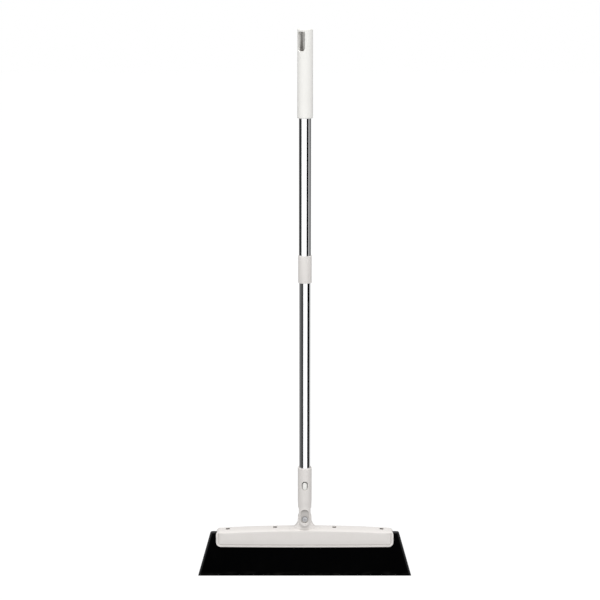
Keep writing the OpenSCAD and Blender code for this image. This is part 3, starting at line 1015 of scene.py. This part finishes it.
def pan_head(seat, top, radius, facing):
    """Profile of a pan-shaped screw head, seat to crown; facing is -1 for the front and 1 for the rear."""
    height = abs(top - seat)
    edge = 0.35 * height
    points = [(radius, seat), (radius, seat + facing * (height - 2 * edge))]
    for turn in (0.4, 0.8, 1.2, 1.5):
        points.append((radius - edge * 1.6 * (1 - math.cos(turn)),
                       seat + facing * (height - 2 * edge + 1.7 * edge * math.sin(turn))))
    points.append((0.3 * radius, top))
    return points


def cross_recess(top, depth, reach, width, x, z, facing, turn):
    """Two tapered bars that cross, as the tool that cuts a screw's cross recess."""
    bars = []
    for quarter in (0.0, math.pi / 2):
        select_nothing()
        bpy.ops.mesh.primitive_cube_add(size=1.0, location=(x, top, z), scale=(2 * reach, 2 * depth, width))
        bar = bpy.context.object
        bar.rotation_euler.y = turn + quarter
        bars.append(bar)
    work_on(bars[0])
    bpy.ops.object.transform_apply(location=True, rotation=True, scale=True)
    work_on(bars[1])
    bpy.ops.object.transform_apply(location=True, rotation=True, scale=True)
    cut(bars[0], bars[1], "UNION")
    middle = Vector((x, 0.0, z))
    for vertex in bars[0].data.vertices:
        if (vertex.co.y - top) * facing < 0:
            away = vertex.co - middle
            vertex.co.x = x + 0.45 * away.x
            vertex.co.z = z + 0.45 * away.z
    return bars[0]


class SWEEPER_OT_pivot(Operator):
    """Models the pivot's screw, nut and two wave washers"""

    bl_idname = "sweeper.pivot"
    bl_label = "Pivot hardware"

    def execute(self, context):
        top, end = low_high("pivot_screw", 1)
        head_radius = low_high("pivot_screw", 0)[1]
        seat = -context.scene.sweeper_neck.recess_floor
        shank = 0.003
        profile = [(shank - 0.0004, end), (shank, end - 0.0005), (shank, seat)]
        profile += pan_head(seat, top, head_radius, -1)
        screw = turn_across("pivot_bolt", profile, z=PIVOT_Z)
        cut(screw, cross_recess(top, 0.0015, 0.0036, 0.0014, 0.0, PIVOT_Z, -1, math.radians(45)))
        steel = material_named("zinc_steel")
        hand_over(screw, "lower_pole", steel, ["pivot_screw"], math.radians(35))
        self.nut(steel)
        self.washers(steel)
        return {"FINISHED"}

    def nut(self, steel):
        """A hex nut with both its faces chamfered."""
        low, high = low_high("pivot_nut", 1)
        corner = low_high("pivot_nut", 0)[1]
        bore = 0.003
        chamfer = 0.0005

        def hexagon(radius, y, count=48):
            ring = []
            for step in range(count):
                turn = 2 * math.pi * step / count
                flat = math.cos(math.pi / 6) / math.cos((turn % (math.pi / 3)) - math.pi / 6)
                reach = radius * flat
                ring.append(Vector((reach * math.cos(turn), y, PIVOT_Z + reach * math.sin(turn))))
            return ring

        def circle(radius, y):
            return cross_ring(radius, y, z=PIVOT_Z, count=48)

        rings = [circle(bore, low), circle(corner * 0.84, low), hexagon(corner, low + chamfer),
                 hexagon(corner, high - chamfer), circle(corner * 0.84, high), circle(bore, high)]
        nut = draw_rings("pivot_hex_nut", rings, ends="joined")
        hand_over(nut, "lower_pole", steel, ["pivot_nut"], math.radians(25))

    def washers(self, steel):
        """Two rings, one on each side of the tongue, with a gentle wave in each."""
        outer = low_high("pivot_washers", 0)[1]
        bore = 0.0031
        far = low_high("pivot_washers", 1)[1]
        near = far - 0.0004

        def waved(side, radius, depth):
            ring = cross_ring(radius, side * depth, z=PIVOT_Z, count=60)
            for point in ring:
                turn = math.atan2(point.z - PIVOT_Z, point.x)
                point.y -= side * 0.00006 * (1 + math.cos(3 * turn))
            return ring

        pieces = []
        for side in (-1, 1):
            rings = [waved(side, radius, depth)
                     for radius, depth in ((bore, far), (outer, far), (outer, near), (bore, near))]
            pieces.append(draw_rings("wave_washers", rings, ends="joined"))
        work_on(pieces[0])
        pieces[1].select_set(True)
        bpy.ops.object.join()
        pieces[0].name = "wave_washers"
        hand_over(pieces[0], "lower_pole", steel, ["pivot_washers"], math.radians(35))


# ---------------------------------------------------------------------------
# Head
# ---------------------------------------------------------------------------

HEAD_HALF_WIDTH = low_high("front_shell", 0)[1]
HEAD_REAR = low_high("rear_shell", 1)[1]
HEAD_LOW = low_high("front_shell", 2)[0]
HEAD_TOP = low_high("front_shell", 2)[1]
BLADE_TOP = low_high("blade", 2)[1]
SCREW_Z = sum(low_high("clamp_screws", 2)) / 2


def head_top(head, x):
    """Height of the head's gently arched top edge."""
    return HEAD_TOP - head.end_drop * (x / HEAD_HALF_WIDTH) ** 2


def head_low(head, x):
    """Height of the head's gently bowed lower edge."""
    return HEAD_LOW + head.end_rise * (x / HEAD_HALF_WIDTH) ** 2


def head_outline(head, inset, top_inset, corner_steps=10, edge_steps=48):
    """The head's outline seen from the front, moved in at its sides and bottom and at its top.

    Gives (x, z, share) points. share is 1 on the top edge, 0 on the others and in between at its corners.
    """
    half = HEAD_HALF_WIDTH - inset
    top_round = max(head.top_corner - inset, 0.0012)
    low_round = max(head.low_corner - inset, 0.0012)
    x_top = half - top_round
    x_low = half - low_round
    z_top = head_top(head, x_top) - top_inset - top_round
    z_low = head_low(head, x_low) + inset + low_round
    turning = [0.5 - 0.5 * math.cos(math.pi * step / corner_steps) for step in range(corner_steps + 1)]
    points = [(x, z, 0.0) for x, z in arc(x_low, z_low, low_round, -90, 0, corner_steps)]
    for (x, z), share in zip(arc(x_top, z_top, top_round, 0, 90, corner_steps), turning):
        points.append((x, z, share))
    for step in range(1, edge_steps):
        x = x_top - 2 * x_top * step / edge_steps
        points.append((x, head_top(head, x) - top_inset, 1.0))
    for (x, z), share in zip(arc(-x_top, z_top, top_round, 90, 180, corner_steps), turning[::-1]):
        points.append((x, z, share))
    points += [(x, z, 0.0) for x, z in arc(-x_low, z_low, low_round, 180, 270, corner_steps)]
    for step in range(1, edge_steps):
        x = -x_low + 2 * x_low * step / edge_steps
        points.append((x, head_low(head, x) + inset, 0.0))
    return points


def outer_sections(head, side):
    """The cover's outside as (inset, depth) at the sides and bottom, then (inset, depth) at the top.

    At the sides and bottom a soft bead runs round a crowned panel with a groove between them. At the top
    the front cover's panel rolls over in one wide rounding. The rear cover's top is flat with a small one.
    """
    lip = HEAD_REAR - head.panel_rise
    width = head.lip_width
    rise = head.panel_rise
    start, drop, lean = (0.0025, 0.0024, 0.001) if side < 0 else (HEAD_REAR - 0.0014, 0.0014, 0.0006)
    rows = [(0.0, 0.00008, 0.0, 0.00008), (0.0, 0.45 * lip, 0.0, 0.5 * start)]
    rows.append((0.0, lip - 0.0019, 0.0, start))
    flanks = []
    for turn in (0.3, 0.6, 0.9, 1.2, math.pi / 2):
        flanks.append((0.0015 * (1 - math.cos(turn)), lip - 0.0019 + 0.0019 * math.sin(turn)))
    for inset, sink in ((-0.0025, 0.00002), (-0.0019, 0.00025), (-0.0014, 0.0008),
                        (-0.0009, 0.0012), (-0.0003, 0.0012), (0.0002, 0.0006)):
        flanks.append((width + inset, lip - sink))
    for turn in (0.15, 0.5, 0.85, 1.15, 1.4):
        flanks.append((width + 0.0004 + 0.0022 * (1 - math.cos(turn)), lip + 0.5 * rise * math.sin(turn)))
    for inset, share in ((0.0045, 0.64), (0.007, 0.79), (0.0095, 0.91), (0.012, 0.985)):
        flanks.append((width + inset, lip + share * rise))
    reach = HEAD_REAR - start - 0.00005
    for number, (inset, depth) in enumerate(flanks):
        along = (number + 1) / len(flanks)
        turn = along * math.pi / 2
        top_inset = drop * (1 - math.cos(turn)) + lean * along
        rows.append((inset, depth, top_inset, start + reach * math.sin(turn)))
    rows.append((width + 0.0135, HEAD_REAR, 0.009, HEAD_REAR))
    return rows


def inner_sections(head):
    """The cover's hollow, one wall inside its outside, in the same four columns."""
    wall = head.shell_wall
    lip = HEAD_REAR - head.panel_rise - wall
    face = HEAD_REAR - wall
    width = head.lip_width + wall
    return [
        (wall, -0.002, wall, -0.002),
        (wall, lip - 0.0012, wall, 0.45 * lip),
        (wall + 0.0004, lip - 0.0003, wall + 0.0008, 0.8 * lip),
        (wall + 0.0012, lip, wall + 0.002, lip),
        (width - 0.0006, lip + 0.0001, wall + 0.003, lip + 0.5 * head.panel_rise),
        (width, lip + 0.0005, wall + 0.0036, face - 0.0006),
        (width + 0.0014, face, wall + 0.005, face),
    ]


def cover_rings(head, side, sections):
    """Rings of one cover from its four-column sections; side is -1 for the front and 1 for the rear."""
    rings = []
    for inset, depth, top_inset, top_depth in sections:
        ring = []
        for x, z, share in head_outline(head, inset, top_inset):
            ring.append(Vector((x, side * (depth + (top_depth - depth) * share), z)))
        rings.append(ring)
    return rings


def cover_shell(name, head, side):
    """One hollow cover of the head, open towards the other one, and below and at its ends for the blade."""
    cover = draw_rings(name, cover_rings(head, side, outer_sections(head, side)))
    cut(cover, draw_rings("hollow_tool", cover_rings(head, side, inner_sections(head))))
    gap = 0.0045
    end_gap = 0.0054
    far = HEAD_HALF_WIDTH + 0.01
    near = HEAD_HALF_WIDTH - 0.016
    cut(cover, block("mouth_tool", (-far, -gap, HEAD_LOW - 0.005), (far, gap, HEAD_LOW + 0.0085)))
    for turn in (-1, 1):
        ends = sorted((turn * near, turn * far))
        low = (ends[0], -end_gap, HEAD_LOW - 0.006)
        cut(cover, block("end_tool", low, (ends[1], end_gap, BLADE_TOP + 0.0005)))
    return cover


def block(name, low, high):
    """A box between two corners, for a cutting tool or a rib."""
    select_nothing()
    middle = (Vector(low) + Vector(high)) / 2
    size = Vector(high) - Vector(low)
    bpy.ops.mesh.primitive_cube_add(size=1.0, location=middle, scale=size)
    piece = bpy.context.object
    piece.name = name
    bpy.ops.object.transform_apply(location=True, rotation=True, scale=True)
    return piece


def across_head(name, outline, x, top, half_width):
    """A bar along X with a profile of (y, rise above top), centred on x."""
    ends = (x - half_width, x + half_width)
    return draw_rings(name, [[Vector((end, y, top + rise)) for y, rise in outline] for end in ends])


HOOK_XS = (-0.1685, -0.065, 0.065, 0.1685)


def screw_xs(head):
    """Places of the clamp screws along the head."""
    first = -(head.screw_count - 1) / 2
    return [(first + step) * head.screw_pitch for step in range(head.screw_count)]


class SWEEPER_OT_front_cover(Operator):
    """Models the head's front cover with its lip, raised panel and snap hooks"""

    bl_idname = "sweeper.front_cover"
    bl_label = "Front cover"

    def execute(self, context):
        head = context.scene.sweeper_head
        cover = cover_shell("front_cover", head, -1)
        base = NECK_RADIUS + head.flare_radius + 0.0003
        cut(cover, block("notch_tool", (-base, -0.0069, 0.1057), (base, 0.001, 0.13)))
        for x in HOOK_XS:
            cut(cover, self.hook(x, head_top(head, x) - head.shell_wall - 0.0002), "UNION")
        hand_over(cover, "head", material_named("body_plastic"),
                  ["front_shell"], math.radians(32))
        return {"FINISHED"}

    def hook(self, x, top):
        """A snap hook that reaches back under the rear cover's top, with a barb in its window."""
        outline = [(-0.004, -0.001), (0.003, -0.001), (0.003, -0.0003), (0.0027, 0.0008), (0.0019, 0.0008),
                   (0.0016, 0.0), (-0.0005, 0.0), (-0.0005, 0.0012), (-0.004, 0.0012)]
        return across_head("hook", outline, x, top, 0.0035)


class SWEEPER_OT_rear_cover(Operator):
    """Models the head's rear cover with its tongue, hook windows and screw seats"""

    bl_idname = "sweeper.rear_cover"
    bl_label = "Rear cover"

    def execute(self, context):
        head = context.scene.sweeper_head
        cover = cover_shell("rear_cover", head, 1)
        for x in HOOK_XS:
            cut(cover, self.window(x, head_top(head, x)))
        cut(cover, self.tongue(head), "UNION")
        seat = HEAD_REAR - head.panel_rise - head.shell_wall
        for x in screw_xs(head):
            boss = turn_across("boss", [(0.005, 0.0052), (0.005, HEAD_REAR - 0.001)], x, SCREW_Z, 48)
            cut(cover, boss, "UNION")
            tool = turn_across("seat_tool", [(0.002, 0.004), (0.002, seat), (0.0039, seat),
                                             (0.0039, HEAD_REAR - 0.0006), (0.0046, HEAD_REAR + 0.0006)],
                               x, SCREW_Z, 48)
            cut(cover, tool)
        hand_over(cover, "head", material_named("body_plastic"),
                  ["rear_shell"], math.radians(32))
        return {"FINISHED"}

    def window(self, x, top):
        """The tool for a hook window, whose rear wall is undercut so that the opening looks dark."""
        outline = [(0.0008, -0.0042), (0.0115, -0.0042), (0.0062, 0.001), (0.0008, 0.001)]
        return across_head("window_tool", outline, x, top, 0.0042)

    def tongue(self, head):
        """The flared tongue with rounded edges and the pivot's bore."""
        radius = NECK_RADIUS - 0.0002
        flare = head.flare_radius
        flare_top = HEAD_TOP + flare
        base = NECK_RADIUS + flare
        foot = 0.106
        half = 0.0066
        soft = 0.0008

        def outline(inset):
            points = [(base, foot), (base, foot + 0.0026)]
            points += arc(base, flare_top, flare + inset, 270, 180, 14)
            points += arc(0.0, PIVOT_Z, radius - inset, 8, 172, 24)
            points += arc(-base, flare_top, flare + inset, 0, -90, 14)
            points += [(-base, foot + 0.0026), (-base, foot), (0.0, foot)]
            return without_repeats(points)

        rings = [standing(outline(soft), -half), standing(outline(0.3 * soft), -half + 0.3 * soft),
                 standing(outline(0.0), -half + soft), standing(outline(0.0), half - soft),
                 standing(outline(0.3 * soft), half - 0.3 * soft), standing(outline(soft), half)]
        tongue = draw_rings("tongue", rings)
        bore = 0.00305
        cut(tongue, turn_across("bore_tool", [(bore, -0.02), (bore, 0.02)], z=PIVOT_Z))
        return tongue


class SWEEPER_OT_blade(Operator):
    """Models the rubber blade, thick at its root and thin at the edge that sweeps"""

    bl_idname = "sweeper.blade"
    bl_label = "Blade"

    def execute(self, context):
        head = context.scene.sweeper_head
        low, top = low_high("blade", 2)
        low_half = low_high("blade", 0)[1]
        root_half = low_high("blade", 1)[1]
        edge_half = 0.0015
        chamfer = head.blade_end_chamfer

        def ring(z, pinch=0.0):
            share = (z - low) / (top - low)
            half = low_half + (BLADE_TOP_HALF - low_half) * share - pinch
            thick = edge_half + (root_half - edge_half) * share - pinch
            thin = 0.42 * thick
            quarter = [(half - chamfer, thick), (half - 0.35 * chamfer, 0.8 * thick),
                       (half - 0.08 * chamfer, thin), (half, 0.4 * thin)]
            across = [(half - chamfer) * (1 - step / 12) for step in range(1, 12)]
            edge = quarter[::-1] + [(x, thick) for x in across] + [(0.0, thick)]
            rear = edge + [(-x, y) for x, y in edge[-2::-1]]
            front = [(x, -y) for x, y in rear[::-1]]
            return [Vector((x, y, z)) for x, y in rear + front]

        heights = [(low, 0.0005), (low + 0.0004, 0.0001), (low + 0.001, 0.0), (low + 0.012, 0.0)]
        heights += [(low + (top - low) * step / 8, 0.0) for step in range(2, 8)]
        heights += [(top - 0.0022, 0.0), (top - 0.0011, 0.0003), (top - 0.0004, 0.0009), (top, 0.002)]
        blade = draw_rings("sweeping_blade", [ring(z, pinch) for z, pinch in heights])
        for x in screw_xs(head):
            cut(blade, turn_across("hole_tool", [(0.0021, -0.02), (0.0021, 0.02)], x, SCREW_Z, 32))
        hand_over(blade, "head", material_named("blade_rubber"),
                  ["blade"], math.radians(28))
        return {"FINISHED"}


class SWEEPER_OT_clamp_screws(Operator):
    """Models one clamp screw and copies it along the rear cover"""

    bl_idname = "sweeper.clamp_screws"
    bl_label = "Clamp screws"

    def execute(self, context):
        head = context.scene.sweeper_head
        tip, top = low_high("clamp_screws", 1)
        seat = HEAD_REAR - head.panel_rise - head.shell_wall
        head_radius = (low_high("clamp_screws", 2)[1] - low_high("clamp_screws", 2)[0]) / 2
        shank = 0.0018
        places = screw_xs(head)
        profile = [(0.0006, tip), (shank, tip + 0.002), (shank, seat)] + pan_head(seat, top, head_radius, 1)
        first = turn_across("clamp_screw_set", profile, places[0], SCREW_Z, 40)
        cut(first, cross_recess(top, 0.001, 0.0021, 0.0009, places[0], SCREW_Z, 1, math.radians(20)))
        copies = []
        for x in places[1:]:
            work_on(first)
            bpy.ops.object.duplicate()
            copy = bpy.context.object
            copy.location.x = x - places[0]
            copies.append(copy)
        work_on(first)
        for copy in copies:
            copy.select_set(True)
        bpy.ops.object.join()
        hand_over(first, "head", material_named("zinc_steel"),
                  ["clamp_screws"], math.radians(35))
        return {"FINISHED"}


class SWEEPER_OT_inner_parts(Operator):
    """Gives the frame's own inner pieces their finishes"""

    bl_idname = "sweeper.inner_parts"
    bl_label = "Inner parts"

    def execute(self, context):
        plastic = ("grip_plug", "guide_ring", "expander_bush", "expander_cone", "lock_plug", "snap_plug")
        for node in plastic:
            finish_frame_node(node, material_named("inner_plastic"))
        for node in ("lock_stud", "stud_nut", "button_spring", "stiffener_bar"):
            finish_frame_node(node, material_named("zinc_steel"))
        return {"FINISHED"}


# ---------------------------------------------------------------------------
# Stage
# ---------------------------------------------------------------------------

# Turns from the front towards the right side, in degrees, with the brightness of the screen between them.
UPPER_SCREEN = ((-180, -150, 0.3), (-150, -67, 0.035), (-67, 31, 1.3),
                (31, 68, 0.002), (68, 95, 0.5), (95, 180, 0.16))
LOWER_SCREEN = ((-180, -80, 0.15), (-80, -33, 0.06), (-33, 52, 1.3), (52, 108, 0.002), (108, 180, 0.5))


def glow(name, brightness):
    """A plain white light-giving material for the stage."""
    material = bpy.data.materials.new(name)
    material.use_nodes = True
    tree = material.node_tree
    tree.nodes.clear()
    light = add_node(tree, "ShaderNodeEmission")
    light.inputs["Color"].default_value = (1.0, 1.0, 1.0, 1.0)
    light.inputs["Strength"].default_value = brightness
    out = add_node(tree, "ShaderNodeOutputMaterial")
    tree.links.new(light.outputs["Emission"], out.inputs["Surface"])
    return material


class SWEEPER_OT_stage(Operator):
    """Sets the camera, the pale floor, the soft lights and the reflection screens"""

    bl_idname = "sweeper.stage"
    bl_label = "Stage"

    def execute(self, context):
        stage = context.scene.sweeper_stage
        self.camera(context, stage)
        self.floor(stage)
        self.lights()
        self.surroundings(context)
        if stage.show_screens:
            self.screen("upper_screen", stage.screen_radius, 0.575, 1.06, UPPER_SCREEN)
            self.screen("lower_screen", stage.screen_radius, -0.6, 0.575, LOWER_SCREEN)
        return {"FINISHED"}

    def camera(self, context, stage):
        """The camera in front of the sweeper, looking slightly down."""
        select_nothing()
        back = stage.camera_distance * math.cos(stage.camera_pitch)
        rise = stage.camera_distance * math.sin(stage.camera_pitch)
        place = (-stage.look_side, -back, stage.look_height + rise)
        turn = (math.pi / 2 - stage.camera_pitch, 0.0, 0.0)
        bpy.ops.object.camera_add(location=place, rotation=turn)
        camera = context.object
        camera.name = "camera"
        camera.data.lens = stage.camera_lens
        camera.data.sensor_width = 36.0
        camera.data.clip_end = 200.0
        context.scene.camera = camera

    def floor(self, stage):
        """A wide pale floor under the blade's edge."""
        select_nothing()
        bpy.ops.mesh.primitive_plane_add(size=stage.floor_size, location=(0.0, 0.0, CAD_BOX[0][2] - 0.0004))
        floor = bpy.context.object
        floor.name = "floor"
        material, tree, shader = start_material("studio_floor")
        shader.inputs["Base Color"].default_value = (0.06, 0.06, 0.06, 1.0)
        shader.inputs["Roughness"].default_value = 1.0
        shader.inputs["Specular IOR Level"].default_value = 0.0
        shader.inputs["Emission Strength"].default_value = 1.0
        path = add_node(tree, "ShaderNodeLightPath")
        bright = mix_colours(tree, path.outputs["Is Camera Ray"], (0.7, 0.7, 0.7), (0.975, 0.975, 0.975))
        tree.links.new(bright, shader.inputs["Emission Color"])
        floor.data.materials.append(material)
        floor.visible_glossy = False

    def lights(self):
        """A wide soft light high above the front, one overhead and a weak one from the left."""
        for name, place, aim, size, power in (
            ("front_light", (0.0, -4.2, 4.75), (0.0, 0.0, 0.5), 2.4, 153.0),
            ("overhead_light", (0.0, -0.3, 5.0), (0.0, 0.0, 0.5), 2.0, 105.0),
            ("left_light", (-4.4, -2.2, 1.4), (0.0, 0.0, 0.6), 1.6, 7.0),
        ):
            select_nothing()
            bpy.ops.object.light_add(type="AREA", location=place)
            light = bpy.context.object
            light.name = name
            light.data.size = size
            light.data.energy = power
            light.rotation_euler = (Vector(aim) - Vector(place)).to_track_quat("-Z", "Y").to_euler()
            light.visible_glossy = False

    def surroundings(self, context):
        """White surroundings for the camera, and a softer light from them on the object."""
        world = bpy.data.worlds.new("studio")
        context.scene.world = world
        world.use_nodes = True
        tree = world.node_tree
        tree.nodes.clear()
        path = add_node(tree, "ShaderNodeLightPath")
        seen = add_node(tree, "ShaderNodeBackground")
        seen.inputs["Strength"].default_value = 1.0
        seen.inputs["Color"].default_value = (1.0, 1.0, 1.0, 1.0)
        giving = add_node(tree, "ShaderNodeBackground")
        giving.inputs["Strength"].default_value = 0.48
        giving.inputs["Color"].default_value = (1.0, 1.0, 1.0, 1.0)
        mix = add_node(tree, "ShaderNodeMixShader")
        out = add_node(tree, "ShaderNodeOutputWorld")
        tree.links.new(path.outputs["Is Camera Ray"], mix.inputs["Fac"])
        tree.links.new(giving.outputs["Background"], mix.inputs[1])
        tree.links.new(seen.outputs["Background"], mix.inputs[2])
        tree.links.new(mix.outputs["Shader"], out.inputs["Surface"])
        context.scene.view_settings.view_transform = "Standard"
        context.scene.view_settings.look = "None"

    def screen(self, name, radius, low, high, bands):
        """A round screen that only reflections see, in bands of even brightness."""
        select_nothing()
        bpy.ops.mesh.primitive_cylinder_add(vertices=180, radius=radius, depth=high - low,
                                            location=(0.0, 0.0, (low + high) / 2), end_fill_type="NOTHING")
        screen = bpy.context.object
        screen.name = name
        for number, (_start, _stop, brightness) in enumerate(bands):
            screen.data.materials.append(glow(f"{name}_{number}", brightness))
        for face in screen.data.polygons:
            turn = math.degrees(math.atan2(face.center.x, -face.center.y))
            for number, (start, stop, _brightness) in enumerate(bands):
                if start <= turn <= stop:
                    face.material_index = number
        screen.visible_camera = False
        screen.visible_diffuse = False
        screen.visible_shadow = False
        screen.visible_transmission = False
        screen.visible_volume_scatter = False


class SWEEPER_PT_sidebar(Panel):
    """Lists the sweeper's pieces and sizes in the sidebar"""

    bl_idname = "SWEEPER_PT_sidebar"
    bl_label = "Floor Sweeper"
    bl_space_type = "VIEW_3D"
    bl_region_type = "UI"
    bl_category = "Sweeper"

    def draw(self, context):
        for settings, operators in (
            (context.scene.sweeper_finish, (SWEEPER_OT_inner_parts,)),
            (context.scene.sweeper_pole, (SWEEPER_OT_grip, SWEEPER_OT_tubes, SWEEPER_OT_collar)),
            (context.scene.sweeper_neck, (SWEEPER_OT_neck, SWEEPER_OT_button, SWEEPER_OT_pivot)),
            (context.scene.sweeper_head, (SWEEPER_OT_front_cover, SWEEPER_OT_rear_cover,
                                          SWEEPER_OT_blade, SWEEPER_OT_clamp_screws)),
            (context.scene.sweeper_stage, (SWEEPER_OT_stage,)),
        ):
            group = self.layout.box()
            for name in settings.__annotations__:
                group.prop(settings, name)
            for operator in operators:
                group.operator(operator.bl_idname)


SETTINGS = {
    "sweeper_pole": SweeperPoleSettings,
    "sweeper_neck": SweeperNeckSettings,
    "sweeper_head": SweeperHeadSettings,
    "sweeper_finish": SweeperFinishSettings,
    "sweeper_stage": SweeperStageSettings,
}

OPERATORS = (
    SWEEPER_OT_inner_parts,
    SWEEPER_OT_grip,
    SWEEPER_OT_tubes,
    SWEEPER_OT_collar,
    SWEEPER_OT_neck,
    SWEEPER_OT_button,
    SWEEPER_OT_pivot,
    SWEEPER_OT_front_cover,
    SWEEPER_OT_rear_cover,
    SWEEPER_OT_blade,
    SWEEPER_OT_clamp_screws,
    SWEEPER_OT_stage,
)


def register():
    for settings in SETTINGS.values():
        bpy.utils.register_class(settings)
    for operator in OPERATORS:
        bpy.utils.register_class(operator)
    bpy.utils.register_class(SWEEPER_PT_sidebar)
    for name, settings in SETTINGS.items():
        setattr(bpy.types.Scene, name, PointerProperty(type=settings))


def unregister():
    for name in SETTINGS:
        delattr(bpy.types.Scene, name)
    bpy.utils.unregister_class(SWEEPER_PT_sidebar)
    for operator in reversed(OPERATORS):
        bpy.utils.unregister_class(operator)
    for settings in reversed(list(SETTINGS.values())):
        bpy.utils.unregister_class(settings)


def main():
    register()
    for operator in OPERATORS:
        family, name = operator.bl_idname.split(".")
        getattr(getattr(bpy.ops, family), name)()


if __name__ == "__main__":
    main()
